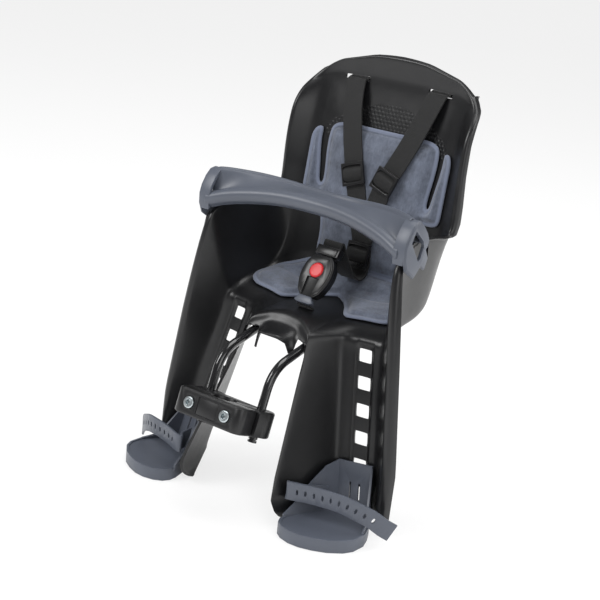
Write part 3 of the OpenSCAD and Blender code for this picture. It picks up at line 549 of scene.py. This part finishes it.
def build_brushed_cloth():
    """Brushed knitted fabric: mottled nap in two sizes, fine fibres, and a smooth welded border."""
    group, start, end = node_group(
        "Brushed Cloth",
        [("Vector", "NodeSocketVector", None), ("Fabric", "NodeSocketColor", (0.2, 0.2, 0.25, 1)),
         ("Border Colour", "NodeSocketColor", (0.2, 0.2, 0.25, 1)), ("Border", "NodeSocketFloat", 0.0)],
        [("Colour", "NodeSocketColor"), ("Height", "NodeSocketFloat")])
    calc = partial(math_node, group)
    patches = noise_node(group, start.outputs["Vector"], 46.0, 5.0, 0.68)
    stretch = group.nodes.new("ShaderNodeMapping")
    stretch.inputs["Scale"].default_value = (1.0, 1.0, 0.35)
    group.links.new(start.outputs["Vector"], stretch.inputs["Vector"])
    nap = noise_node(group, stretch.outputs["Vector"], 420.0, 3.0, 0.7)
    fibre = noise_node(group, start.outputs["Vector"], 1900.0, 2.0, 0.6)
    mottle = ramp_node(group, calc("MULTIPLY_ADD", nap, 0.35, calc("MULTIPLY", patches, 0.65)), 0.36, 0.66)
    dark, light = (shade_node(group, start.outputs["Fabric"], value) for value in (0.62, 1.42))
    body = mix_colour(group, mottle, dark, light)
    colour = mix_colour(group, start.outputs["Border"], body, start.outputs["Border Colour"])
    group.links.new(colour, end.inputs["Colour"])
    inside = calc("SUBTRACT", 1.0, calc("MULTIPLY", start.outputs["Border"], 0.8))
    group.links.new(calc("MULTIPLY", calc("MULTIPLY_ADD", fibre, 0.5, nap), inside), end.inputs["Height"])


def build_webbing_weave():
    """Woven tape: crosswise ribs with a twill step in each lane, on the strap's own UV in metres."""
    lane_width, rib_pitch = 0.0014, 0.0016
    group, start, end = node_group("Webbing Weave", [("UV", "NodeSocketVector", None),
                                                     ("Colour", "NodeSocketColor", (0.02, 0.02, 0.02, 1))],
                                   [("Colour", "NodeSocketColor"), ("Height", "NodeSocketFloat")])
    calc = partial(math_node, group)
    split = group.nodes.new("ShaderNodeSeparateXYZ")
    group.links.new(start.outputs["UV"], split.inputs[0])
    across, down = split.outputs["X"], split.outputs["Y"]
    lane = calc("DIVIDE", across, lane_width)
    step = calc("MULTIPLY", calc("FLOOR", lane), 0.5)
    rib = calc("SINE", calc("MULTIPLY", calc("ADD", calc("DIVIDE", down, rib_pitch), step), 2 * math.pi))
    cord = calc("SINE", calc("MULTIPLY", calc("FRACT", lane), math.pi))
    height = calc("MULTIPLY_ADD", rib, 0.35, calc("MULTIPLY", cord, 0.65))
    fuzz = noise_node(group, start.outputs["UV"], 900.0, 2.0, 0.6)
    value = calc("MULTIPLY_ADD", height, 0.5, calc("MULTIPLY_ADD", fuzz, 0.6, 0.55))
    group.links.new(shade_node(group, start.outputs["Colour"], value), end.inputs["Colour"])
    group.links.new(calc("MULTIPLY_ADD", fuzz, 0.3, height), end.inputs["Height"])


def new_material(name, colour):
    """A material's node tree and its Principled BSDF, ready for nodes."""
    m = bpy.data.materials.new(name)
    m.use_nodes = True
    m.diffuse_color = colour
    return m.node_tree, m.node_tree.nodes["Principled BSDF"]


def bump(tree, shader, height, strength, distance):
    """Feeds a height into the shader's normal."""
    n = tree.nodes.new("ShaderNodeBump")
    n.inputs["Strength"].default_value = strength
    n.inputs["Distance"].default_value = distance
    tree.links.new(height, n.inputs["Height"])
    tree.links.new(n.outputs["Normal"], shader.inputs["Normal"])


def plastic(name, colour, rough, grain, depth, edge_highlight, dimples=False, coat=0.0):
    """A moulded plastic on Object coordinates."""
    tree, shader = new_material(name, colour)
    place = tree.nodes.new("ShaderNodeTexCoord").outputs["Object"]
    skin = group_node(tree, "Moulded Skin", "Vector", place)
    set_inputs(skin, {"Colour": colour, "Grain Scale": grain, "Roughness": rough, "Edge Highlight": edge_highlight})
    tree.links.new(skin.outputs["Colour"], shader.inputs["Base Color"])
    tree.links.new(skin.outputs["Roughness"], shader.inputs["Roughness"])
    set_inputs(shader, {"Coat Weight": coat, "Coat Roughness": 0.12})
    if dimples:
        field = group_node(tree, "Dimple Field", "Vector", place)
        both = math_node(tree, "MULTIPLY_ADD", field.outputs["Height"], 14.0, skin.outputs["Height"])
        bump(tree, shader, both, 1.0, depth)
    else:
        bump(tree, shader, skin.outputs["Height"], 1.0, depth)


def metal(name, colour, rough, brushed):
    """A plated or bare metal with fine handling marks."""
    tree, shader = new_material(name, colour)
    place = tree.nodes.new("ShaderNodeTexCoord").outputs["Object"]
    fine = noise_node(tree, place, brushed, 4.0, 0.6)
    broad = noise_node(tree, place, 60.0, 3.0, 0.5)
    dim = tuple(c * 0.72 for c in colour[:3]) + (1,)
    tree.links.new(mix_colour(tree, broad, colour, dim), shader.inputs["Base Color"])
    shader.inputs["Metallic"].default_value = 1.0
    tree.links.new(math_node(tree, "MULTIPLY_ADD", fine, 0.16, rough), shader.inputs["Roughness"])
    bump(tree, shader, fine, 0.25, 0.00005)


class SEAT_OT_finishes(bpy.types.Operator):
    """Builds the shared effects and every material of the seat"""

    bl_idname = "seat.finishes"
    bl_label = "Finishes"

    def execute(self, context):
        build_moulded_skin()
        build_dimple_field()
        build_brushed_cloth()
        build_webbing_weave()
        f = context.scene.seat_finish
        # The last value of each plastic is how strongly its convex edges are painted lighter, as a painted
        # highlight.
        plastic("Moulding Plastic", tuple(f.shell), 0.33, 1600.0, 0.00003, 0.3, dimples=True)
        plastic("Trim Plastic", tuple(f.trim), 0.38, 1500.0, 0.00003, 0.25)
        plastic("Fitting Plastic", tuple(f.fitting), 0.3, 1900.0, 0.00002, 0.4)
        plastic("Clamp Plastic", tuple(f.fitting), 0.36, 1300.0, 0.00005, 0.5)
        plastic("Button Plastic", tuple(f.button), 0.4, 1500.0, 0.00001, 0.1, coat=0.1)
        plastic("Fork Paint", tuple(f.paint), 0.16, 700.0, 0.00001, 0.2, coat=0.7)
        metal("Zinc Plate", (0.62, 0.68, 0.7, 1), 0.22, 900.0)
        metal("Spring Steel", (0.42, 0.42, 0.43, 1), 0.3, 1200.0)
        metal("Bright Plate", (0.82, 0.82, 0.83, 1), 0.1, 600.0)
        self.pad_cloth(f)
        self.webbing(f)
        return {"FINISHED"}

    def pad_cloth(self, f):
        """Brushed fabric whose border is welded flat; the border mask is the piece's own attribute."""
        tree, shader = new_material("Pad Fabric", tuple(f.pad))
        place = tree.nodes.new("ShaderNodeTexCoord").outputs["Object"]
        cloth = group_node(tree, "Brushed Cloth", "Vector", place)
        set_inputs(cloth, {"Fabric": tuple(f.pad), "Border Colour": tuple(f.border)})
        border = tree.nodes.new("ShaderNodeAttribute")
        border.attribute_name = "border"
        tree.links.new(border.outputs["Fac"], cloth.inputs["Border"])
        tree.links.new(cloth.outputs["Colour"], shader.inputs["Base Color"])
        set_inputs(shader, {"Roughness": 0.85, "Sheen Weight": 0.35, "Sheen Roughness": 0.5,
                            "Specular IOR Level": 0.25})
        bump(tree, shader, cloth.outputs["Height"], 0.7, 0.0003)

    def webbing(self, f):
        """Woven tape on the strap's UV."""
        tree, shader = new_material("Webbing", tuple(f.webbing))
        uv = tree.nodes.new("ShaderNodeUVMap")
        uv.uv_map = "strap"
        weave = group_node(tree, "Webbing Weave", "UV", uv.outputs["UV"])
        set_inputs(weave, {"Colour": tuple(f.webbing)})
        tree.links.new(weave.outputs["Colour"], shader.inputs["Base Color"])
        set_inputs(shader, {"Roughness": 0.62, "Sheen Weight": 0.15, "Specular IOR Level": 0.4})
        bump(tree, shader, weave.outputs["Height"], 0.8, 0.0003)


class SEAT_OT_shell(bpy.types.Operator):
    """Lofts the moulded shell with its rolled rim, leg channels, ladder windows and arch"""

    bl_idname = "seat.shell"
    bl_label = "Shell"

    # Faces that open, counted from the middle: the ladder's, the harness slot's row and face, the fork's
    window_side, harness_slot, fork_side = 13, (5, 6), 3

    def execute(self, context):
        half = shell_rows()
        middle = len(half[0]) - 1
        rows = [[Vector((-p.x, p.y, p.z)) for p in reversed(h[1:])] + h for h in half]
        legs = 2 + len(Rails.stations)
        gap_row, gap_half = legs + len(Rails.apron) - 1, len(Rails.centre_steps)

        def opening(r, c):
            """The gap between the legs, the ladder windows, the harness slots and the holes for the fork."""
            side = c - middle if c >= middle else middle - 1 - c
            if r >= gap_row and side < gap_half:
                return True
            in_ladder = legs <= r < legs + 2 * Rails.window_count and (r - legs) % 2 == 0
            if in_ladder and side == self.window_side:
                return True
            return (r, side) in (self.harness_slot, (legs + 1, self.fork_side))

        shell = lofted("seat_shell_skin", rows)
        cut_faces(shell, 2 * middle + 1, opening)
        turn_to_child(shell)
        thicken(shell, context.scene.seat_sizes.wall, -1, 0.85)
        rounded(shell, 2)
        apply_all(shell)
        smooth(shell, 60)
        finish_with(shell, "Moulding Plastic")
        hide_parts("seat_shell")
        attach(shell, "seat")
        return {"FINISHED"}


def outline_points(sheet, spacing=0.0015):
    """Points along the open edges of a sheet, a spacing apart."""
    mesh = bmesh.new()
    mesh.from_mesh(sheet.data)
    points = []
    for e in mesh.edges:
        if e.is_boundary:
            a, b = (v.co.copy() for v in e.verts)
            n = max(1, int((b - a).length / spacing))
            points += [lerp(a, b, i / n) for i in range(n)]
    mesh.free()
    return points


def nearest(points):
    """A lookup of the distance to the nearest of the points."""
    tree = KDTree(len(points))
    for i, p in enumerate(points):
        tree.insert(p, i)
    tree.balance()
    return lambda p: tree.find(p)[2]


def ease(a, b, x):
    """0 at a, 1 at b, with soft ends."""
    t = max(0.0, min(1.0, (x - a) / (b - a)))
    return t * t * (3 - 2 * t)


class PadMaker:
    """Makes a brushed pad on the shell: a lofted sheet given a body, with a thin welded border."""

    def pad(self, context, name, node, rows, drop):
        """Makes the pad from rows of points on the shell, less the faces to drop, for a CAD node."""
        sizes = context.scene.seat_sizes
        sheet = lofted(name, rows)
        cut_faces(sheet, len(rows[0]), drop)
        turn_to_child(sheet)
        rounded(sheet, 3)
        apply_all(sheet)
        edge = nearest(outline_points(sheet))
        distances = [edge(v.co) for v in sheet.data.vertices]
        group = sheet.vertex_groups.new(name="body")
        for i, d in enumerate(distances):
            group.add([i], 0.26 + 0.14 * ease(0.0, 0.0025, d) + 0.6 * ease(0.0052, 0.0095, d), "REPLACE")
        lift = sheet.modifiers.new("Gap", "DISPLACE")
        lift.strength, lift.mid_level = sizes.pad_gap, 0
        wall = thicken(sheet, sizes.pad_body, 1)
        wall.vertex_group = "body"
        apply_all(sheet)
        merge(sheet, 0.00001)
        self.swell(context, sheet, edge)
        rounded(sheet, 1)
        apply_all(sheet)
        layer = sheet.data.attributes.new("border", "FLOAT", "POINT")
        layer.data.foreach_set("value", [1 - ease(0.005, 0.0062, edge(v.co)) for v in sheet.data.vertices])
        make_active(sheet)
        bpy.ops.object.shade_smooth()
        finish_with(sheet, "Pad Fabric")
        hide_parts(node)
        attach(sheet, "seat")

    def swell(self, context, pad, edge):
        """Lets the fabric swell between its welded borders by a short cloth simulation, within a cap."""
        start = [v.co.copy() for v in pad.data.vertices]
        hold = pad.vertex_groups.new(name="held")
        normals = [v.normal.copy() for v in pad.data.vertices]
        for i, p in enumerate(start):
            free = ease(0.006, 0.011, edge(p)) if self.faces_out(normals[i]) else 0
            hold.add([i], 1 - free, "REPLACE")
        cloth = pad.modifiers.new("Fabric", "CLOTH")
        s = cloth.settings
        s.vertex_group_mass = "held"
        s.use_pressure, s.uniform_pressure_force = True, 4.0
        s.quality, s.mass = 4, 0.25
        s.tension_stiffness = s.compression_stiffness = 12
        s.bending_stiffness = 0.4
        s.effector_weights.gravity = 0
        cloth.collision_settings.use_collision = False
        for frame_number in range(1, 21):
            context.scene.frame_set(frame_number)
        moved = pad.evaluated_get(context.evaluated_depsgraph_get()).to_mesh()
        cap = context.scene.seat_sizes.pad_swell
        ends = []
        for a, v in zip(start, moved.vertices):
            d = v.co - a
            ends.append(a + d * (min(1.0, cap / d.length) if d.length > 0 else 1))
        pad.modifiers.remove(cloth)
        context.scene.frame_set(1)
        pad.data.vertices.foreach_set("co", [c for p in ends for c in p])
        pad.data.update()

    def faces_out(self, n):
        """Whether a normal points to the child rather than to the shell."""
        return n.y < 0.15 and n.z > -0.5


def turn_to_child(sheet):
    """Turns a sheet's faces to the child: forwards on the back, upwards on the seat."""
    if sum(p.normal.z - p.normal.y for p in sheet.data.polygons) < 0:
        flip_faces(sheet)


class SEAT_OT_back_pad(bpy.types.Operator, PadMaker):
    """Makes the back pad with its two side wings"""

    bl_idname = "seat.back_pad"
    bl_label = "Back Pad"

    stations = [3.3, 3.4, 3.55, 3.8, 4.1, 4.45, 4.8, 5.2, 5.6, 5.8, 6.1, 6.5, 7.05]
    main = [62, 72, 76, 77, 77, 76, 74, 73, 72, 70, 66, 62, 62]
    slit = [4, 4, 9, 9, 8, 7.2, 6.4, 5.6, 4, 4, 4, 4, 4]

    def execute(self, context):
        rows = []
        for i, (s, m) in enumerate(zip(self.stations, self.main)):
            out = 93 if i == 2 else 98 if 2 < i <= 8 else m + 8
            half = [0, m * 0.33, m * 0.66, m, m + self.slit[i], out]
            rows.append([on_shell(s, math.copysign(half[abs(k)], k)) for k in range(-5, 6)])

        def drop(r, c):
            k = 4 - c if c < 5 else c - 5
            return (k == 3 and r != 7) or (k == 4 and (r < 2 or r >= 8))

        self.pad(context, "back_pad_cloth", "back_pad", rows, drop)
        return {"FINISHED"}


class SEAT_OT_seat_pad(bpy.types.Operator, PadMaker):
    """Makes the seat pad with its two thigh lobes"""

    bl_idname = "seat.seat_pad"
    bl_label = "Seat Pad"

    stations = [7.02, 7.4, 7.7, 8, 8.4, 8.8, 9.2, 9.6, 9.9]
    outer = [62, 80, 95, 102, 106, 108, 108, 104, 90]
    inner = [1, 1, 1, 1, 1, 18, 28, 36, 46]

    def execute(self, context):
        rows = []
        for s, a, b in zip(self.stations, self.inner, self.outer):
            rows.append([on_shell(s, 0 if k == 0 else math.copysign(lerp(a, b, (abs(k) - 1) / 4), k))
                         for k in range(-5, 6)])
        self.pad(context, "seat_pad_cloth", "seat_pad", rows, lambda r, c: c in (4, 5) and r >= 4)
        return {"FINISHED"}


class SEAT_OT_safety_bar(bpy.types.Operator):
    """Lofts the safety bar and breaks the edges of its end catches"""

    bl_idname = "seat.safety_bar"
    bl_label = "Safety Bar"

    place = [0, 20, 40, 60, 80, 100, 115, 126, 133, 139]
    front = [(100, 191.7), (99.5, 191.7), (97, 191.2), (94, 189.4), (90, 186.5), (85, 182.7), (81, 178.8),
             (78, 174.5), (77, 173), (80, 176)]
    rear = [(140, 208.6), (139.5, 208.8), (138, 209.6), (134, 211.5), (128.5, 213.2), (119.5, 214.6),
            (110.5, 215.4), (103, 216), (100, 215), (96, 210)]
    nose = [(-1.6, 1.5), (-3, 4.5), (-3.6, 8), (-2.8, 11.5), (0, 14.5), (4, 16.2)]
    back = [(-5, 0.9), (-2.6, 0.9), (0, 0), (1.8, -3), (1.6, -15)]

    def section(self, i, side):
        """One cross section of the bar, from its low front edge over the top to its rear edge."""
        (fy, fz), (ry, rz) = self.front[i], self.rear[i]
        x = side * self.place[i]
        sink = 1.7 * ease(-8, 30, x)
        points = [(fy + 5, fz - 3), (fy, fz)] + [(fy + a, fz + b) for a, b in self.nose]
        points += [(fy + 6.2, fz + 16.2), (fy + 7.6, fz + 15.8 - sink), (fy + 9.5, fz + 16 - sink)]
        points += [(ry - 10.5, rz - 2.2 - sink), (ry - 8.6, rz - 1.6 - sink), (ry - 7.2, rz + 0.1)]
        points += [(ry + a, rz + b) for a, b in self.back]
        return [Vector((x, y, z)) for y, z in points]

    def execute(self, context):
        n = len(self.place) - 1
        rows = [self.section(i, -1) for i in range(n - 1, 0, -1)] + [self.section(i, 1) for i in range(n)]
        bar = lofted("safety_bar_moulding", rows)
        merge(bar, outward=False)
        if sum(p.normal.z for p in bar.data.polygons) < 0:
            flip_faces(bar)
        thicken(bar, context.scene.seat_sizes.bar_wall, -1, 0.5)
        rounded(bar, 3)
        apply_all(bar)
        smooth(bar, 60)
        finish_with(bar, "Trim Plastic")
        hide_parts("safety_bar")
        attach(bar, "seat")
        for side in ("left", "right"):
            finish_with(dressed(f"bar_catch_{side}", f"bar_end_{side}", 0.0009, 3), "Trim Plastic")
        return {"FINISHED"}


def way_at(path, s):
    """The direction of a path at station s."""
    return (along(path, min(s + 0.05, len(path) - 1)) - along(path, max(s - 0.05, 0))).normalized()


def strap(name, path, across, steps, hops=()):
    """A flat strap lofted along a path in mm, square to it, and lifted over the adjusters' middle bars."""
    fine, lift, lift_full, lift_end = 8, 4.6, 3.4, 11.0
    rows, lengths, total, before = [], [], 0.0, None
    for k in range(fine * (len(path) - 1) + 1):
        s = k / fine
        p, way = along(path, s), way_at(path, s)
        side = (Vector(across) - way * way.dot(Vector(across))).normalized()
        rise = max([0.0] + [1 - ease(lift_full, lift_end, (p - Vector(path[h])).length) for h in hops])
        c = p + way.cross(side) * (lift * rise)
        total += (c - before).length if before else 0
        before = c
        lengths.append(total * MM)
        rows.append([c + side * w for w in steps])
    obj = lofted(name, rows)
    obj.data.uv_layers.new(name="strap")
    for layer in [m for m in obj.data.uv_layers if m.name != "strap"]:
        obj.data.uv_layers.remove(layer)
    uv = obj.data.uv_layers["strap"]
    for loop in obj.data.loops:
        v = loop.vertex_index
        uv.data[loop.index].uv = (steps[v % len(steps)] * MM, lengths[v // len(steps)])
    return obj


def slider(name, path, station):
    """An adjuster: a rounded frame with two slots, in mm, riding on a strap at one of its stations."""
    size, slot_w, slot_h, bar, border, thick, gap = (30, 26.5), 25.6, 7.6, 4.6, 1.2, 3.8, 0.5
    p, way = Vector(path[station]), way_at(path, station)
    side = (Vector((1, 0, 0)) - way * way.x).normalized()
    out = way.cross(side)
    w, h = size[0] / 2, size[1] / 2
    xs = [-w, -w + border, -slot_w / 2, slot_w / 2, w - border, w]
    ys = [-h, -h + border, -bar / 2 - slot_h, -bar / 2, bar / 2, bar / 2 + slot_h, h - border, h]
    obj = lofted(name, [[p + out * gap + side * x - way * y for x in xs] for y in ys])
    cut_faces(obj, len(xs), lambda r, c: c == 2 and r in (2, 4))
    if sum(f.normal.dot(out) * f.area for f in obj.data.polygons) < 0:
        flip_faces(obj)
    thicken(obj, thick * MM, 1, 0.35)
    rounded(obj, 3)
    apply_all(obj)
    smooth(obj, 60)
    return obj


class SEAT_OT_harness(bpy.types.Operator):
    """Lays the straps, their adjusters, and the strap that ties the buckle to the seat"""

    bl_idname = "seat.harness"
    bl_label = "Harness"

    # Middle lines of the straps in mm, from behind the back to the buckle's tongue
    left = [
        (-56, 251.2, 313), (-56, 251.2, 320), (-56, 250, 323.2), (-56, 247, 324.6), (-56, 243.6, 324),
        (-56, 240.4, 322.2), (-55.5, 235, 319), (-50, 225, 295), (-41, 217, 265), (-32, 211, 239),
        (-25, 207.5, 218), (-18, 205, 199), (-9, 201, 175), (2, 196, 152), (8, 191.5, 133), (10, 188, 120),
        (11, 182, 111), (10, 172, 109), (7, 161, 121), (3, 155, 138), (1, 152.8, 146), (0.3, 151.2, 150.4),
        (0, 148.4, 152), (0, 146.2, 149.4), (0, 144.6, 145), (0, 141.5, 140)]
    right = [
        (56, 251.2, 313), (56, 251.2, 320), (56, 250, 323.2), (56, 247, 324.6), (56, 243.6, 324),
        (56, 240.4, 322.2), (55.5, 235, 319), (50, 225, 295), (41, 215.5, 265), (31, 208.5, 239),
        (22, 203.5, 218), (17, 200.5, 199), (12, 196, 175), (9, 191.5, 152), (8, 186.8, 133),
        (9, 183.2, 116)]
    crotch = [(0, 112, 79), (0, 108.5, 81.5), (0, 106, 83.5), (0, 105, 85)]

    # Stations of the paths where the adjusters ride
    upper, lower = 10, 14

    def execute(self, context):
        sizes = context.scene.seat_sizes
        half = sizes.webbing_width / MM / 2
        tape = [half * w for w in (-1, -0.93, -0.5, 0, 0.5, 0.93, 1)]
        ways = (("left", self.left, (self.upper,)), ("right", self.right, (self.upper, self.lower)))
        for side, path, hops in ways:
            self.tape(strap(f"shoulder_webbing_{side}", path, (1, 0, 0), tape, hops), sizes)
            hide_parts(f"shoulder_strap_{side}")
        self.tape(strap("crotch_webbing", self.crotch, (1, 0, 0), [0.8 * w for w in tape]), sizes)
        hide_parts("crotch_strap")
        places = (("left", self.left, self.upper), ("right", self.right, self.upper),
                  ("lower", self.right, self.lower))
        for side, path, station in places:
            obj = slider(f"slider_{side}", path, station)
            finish_with(obj, "Fitting Plastic")
            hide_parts(f"adjuster_{side}")
            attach(obj, "seat")
        return {"FINISHED"}

    def tape(self, obj, sizes):
        """Gives a lofted tape its thickness, on the side away from the child, and its weave."""
        if sum(p.normal.y for p in obj.data.polygons if p.center.z > 0.2) > 0 or obj.name == "crotch_webbing":
            flip_faces(obj)
        thicken(obj, sizes.webbing_thickness, -1)
        soften(obj, 0.0004, 50, 2)
        apply_all(obj)
        smooth(obj, 60)
        finish_with(obj, "Webbing")
        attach(obj, "seat")


class SEAT_OT_fittings(bpy.types.Operator):
    """Breaks the edges of the buckle and the other small fittings"""

    bl_idname = "seat.fittings"
    bl_label = "Fittings"

    pieces = [("tongue", "buckle_tongue", "Fitting Plastic", "fitting", 0.0008),
              ("buckle_cover", "buckle_face", "Fitting Plastic", "fitting", 0.0006),
              ("buckle_base", "buckle_back", "Fitting Plastic", "fitting", 0.0008),
              ("buckle_button", "red_button", "Button Plastic", "button", 0.0006),
              ("buckle_foot", "buckle_heel", "Trim Plastic", "fitting", 0.0008)]

    def execute(self, context):
        for node, name, material, slot, edge in self.pieces:
            finish_with(dressed(node, name, edge), material)
        return {"FINISHED"}


class SEAT_OT_clamp(bpy.types.Operator):
    """Breaks the edges of the stem clamp and finishes the support fork, the bolts and the saddle"""

    bl_idname = "seat.clamp"
    bl_label = "Clamp and Fork"

    pieces = [("clamp_rear", "clamp_rear_half", "Clamp Plastic", "clamp", 0.0008),
              ("clamp_front", "clamp_front_half", "Clamp Plastic", "clamp", 0.0009),
              ("clamp_plate", "clamp_blank_plate", "Clamp Plastic", "clamp", 0.0003),
              ("clamp_bolts", "cap_bolts", "Zinc Plate", "zinc", 0.0003),
              ("fork_saddle", "fork_cradle", "Clamp Plastic", "clamp", 0.0008),
              ("fork_screws", "cradle_screws", "Zinc Plate", "zinc", 0.0002)]

    def execute(self, context):
        for node, name, material, slot, edge in self.pieces:
            finish_with(dressed(node, name, edge), material)
        for node, material in (("clamp_nuts", "Zinc Plate"), ("support_fork", "Fork Paint"),
                               ("button_spring", "Spring Steel"), ("slot_bar_left", "Bright Plate"),
                               ("slot_bar_right", "Bright Plate")):
            obj = frame["nodes"][node]
            obj.data.materials.clear()
            obj.data.materials.append(bpy.data.materials[material])
        return {"FINISHED"}


class SEAT_OT_footrests(bpy.types.Operator):
    """Finishes the two footrests and their toe straps"""

    bl_idname = "seat.footrests"
    bl_label = "Footrests"

    def execute(self, context):
        for side in ("left", "right"):
            finish_with(dressed(f"footrest_{side}", f"foot_tray_{side}", 0.001, 3), "Trim Plastic")
            finish_with(dressed(f"foot_strap_{side}", f"toe_band_{side}", 0.0006, 2), "Trim Plastic")
        return {"FINISHED"}


class SEAT_OT_studio(bpy.types.Operator):
    """Sets up the pale floor, the soft lamps and the camera"""

    bl_idname = "seat.studio"
    bl_label = "Studio"

    # The camera's place in metres, and its right, upward and backward directions, at the photograph's angle
    lens = 84
    camera_place = (0.89172, -1.06368, 0.55522)
    camera_axes = ((0.777039, 0.622207, 0.095233), (-0.254689, 0.172429, 0.951526),
                   (0.575625, -0.763627, 0.292453))

    # Each lamp: its name, place, power in watts, size in metres, and what it is aimed at
    lamps = [
        ("Key", (-1.3, -1.7, 1.9), 42, 1.3, (0, 0.15, 0.1)),
        ("Fill", (2.1, -0.9, 1.0), 14, 1.5, (0, 0.15, 0.1)),
        ("Top", (0.2, 0.6, 2.2), 34, 1.8, (0, 0.15, 0.1)),
        ("Rim", (1.6, 1.4, 1.0), 12, 1.0, (0, 0.15, 0.15))]

    def execute(self, context):
        scene = context.scene
        scene.view_settings.view_transform = "Standard"
        optics = bpy.data.cameras.new("Camera")
        optics.lens, optics.sensor_width = self.lens, 36
        camera = bpy.data.objects.new("Camera", optics)
        scene.collection.objects.link(camera)
        turn = Matrix(self.camera_axes).transposed().to_4x4()
        camera.matrix_world = Matrix.Translation(self.camera_place) @ turn
        scene.camera = camera
        self.floor(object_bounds()[0].z - 0.0005)
        self.sky(scene)
        for lamp in self.lamps:
            self.lamp(*lamp)
        return {"FINISHED"}

    def floor(self, height):
        """A wide pale floor that keeps the shadow."""
        clear_selection()
        bpy.ops.mesh.primitive_plane_add(size=30, location=(0, 0, height))
        floor = bpy.context.object
        floor.name = "Floor"
        bpy.ops.object.transform_apply(location=True, rotation=True, scale=True)
        tree, shader = new_material("Pale Floor", (0.9, 0.9, 0.9, 1))
        place = tree.nodes.new("ShaderNodeTexCoord").outputs["Object"]
        tone = noise_node(tree, place, 2.0, 2.0)
        grey = mix_colour(tree, tone, (0.9, 0.9, 0.9, 1), (0.92, 0.92, 0.92, 1))
        tree.links.new(grey, shader.inputs["Base Color"])
        set_inputs(shader, {"Roughness": 0.9, "Specular IOR Level": 0.1})
        light = tree.nodes.new("ShaderNodeEmission")
        set_inputs(light, {"Color": (1, 1, 1, 1)})
        seen = tree.nodes.new("ShaderNodeLightPath").outputs["Is Camera Ray"]
        both = tree.nodes.new("ShaderNodeMixShader")
        tree.links.new(math_node(tree, "MULTIPLY", seen, 0.72), both.inputs["Fac"])
        tree.links.new(shader.outputs["BSDF"], both.inputs[1])
        tree.links.new(light.outputs["Emission"], both.inputs[2])
        tree.links.new(both.outputs["Shader"], tree.nodes["Material Output"].inputs["Surface"])
        floor.data.materials.append(bpy.data.materials["Pale Floor"])
        floor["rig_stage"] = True

    def sky(self, scene):
        """A white surround for the camera and for reflections, and a softer light from it."""
        world = bpy.data.worlds.new("Studio")
        scene.world = world
        world.use_nodes = True
        tree = world.node_tree
        shader = tree.nodes["Background"]
        path = tree.nodes.new("ShaderNodeLightPath")
        dim = math_node(tree, "MULTIPLY_ADD", path.outputs["Is Glossy Ray"], -0.42, 0.6)
        strength = math_node(tree, "MAXIMUM", path.outputs["Is Camera Ray"], dim)
        tree.links.new(strength, shader.inputs["Strength"])
        set_inputs(shader, {"Color": (1, 1, 1, 1)})

    def lamp(self, name, place, power, size, target):
        """A soft square lamp aimed at the target."""
        light = bpy.data.lights.new(name, "AREA")
        light.energy, light.size = power, size
        lamp = bpy.data.objects.new(name, light)
        bpy.context.scene.collection.objects.link(lamp)
        way = Vector(target) - Vector(place)
        lamp.matrix_world = Matrix.Translation(place) @ way.to_track_quat("-Z", "Y").to_matrix().to_4x4()


class SEAT_PT_panel(bpy.types.Panel):
    """Lists the steps that make the seat, with its sizes and colours"""

    bl_label = "Bike Seat"
    bl_idname = "SEAT_PT_panel"
    bl_space_type = "VIEW_3D"
    bl_region_type = "UI"
    bl_category = "Bike Seat"

    def draw(self, context):
        for group in (context.scene.seat_sizes, context.scene.seat_finish):
            for key in group.__annotations__:
                self.layout.prop(group, key)
        for step in STEPS:
            self.layout.operator(step.bl_idname)


STEPS = (SEAT_OT_finishes, SEAT_OT_shell, SEAT_OT_back_pad, SEAT_OT_seat_pad, SEAT_OT_safety_bar,
         SEAT_OT_harness, SEAT_OT_fittings, SEAT_OT_clamp, SEAT_OT_footrests, SEAT_OT_studio)
CLASSES = (SeatFinish, SeatSizes) + STEPS + (SEAT_PT_panel,)


def register():
    for c in CLASSES:
        bpy.utils.register_class(c)
    bpy.types.Scene.seat_finish = PointerProperty(type=SeatFinish)
    bpy.types.Scene.seat_sizes = PointerProperty(type=SeatSizes)


def unregister():
    del bpy.types.Scene.seat_sizes
    del bpy.types.Scene.seat_finish
    for c in reversed(CLASSES):
        bpy.utils.unregister_class(c)


def main():
    """Makes the whole seat."""
    register()
    for step in STEPS:
        group, operator = step.bl_idname.split(".")
        if getattr(getattr(bpy.ops, group), operator)() != {"FINISHED"}:
            raise RuntimeError(f"{step.bl_label} did not finish")
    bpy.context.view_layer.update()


if __name__ == "__main__":
    main()
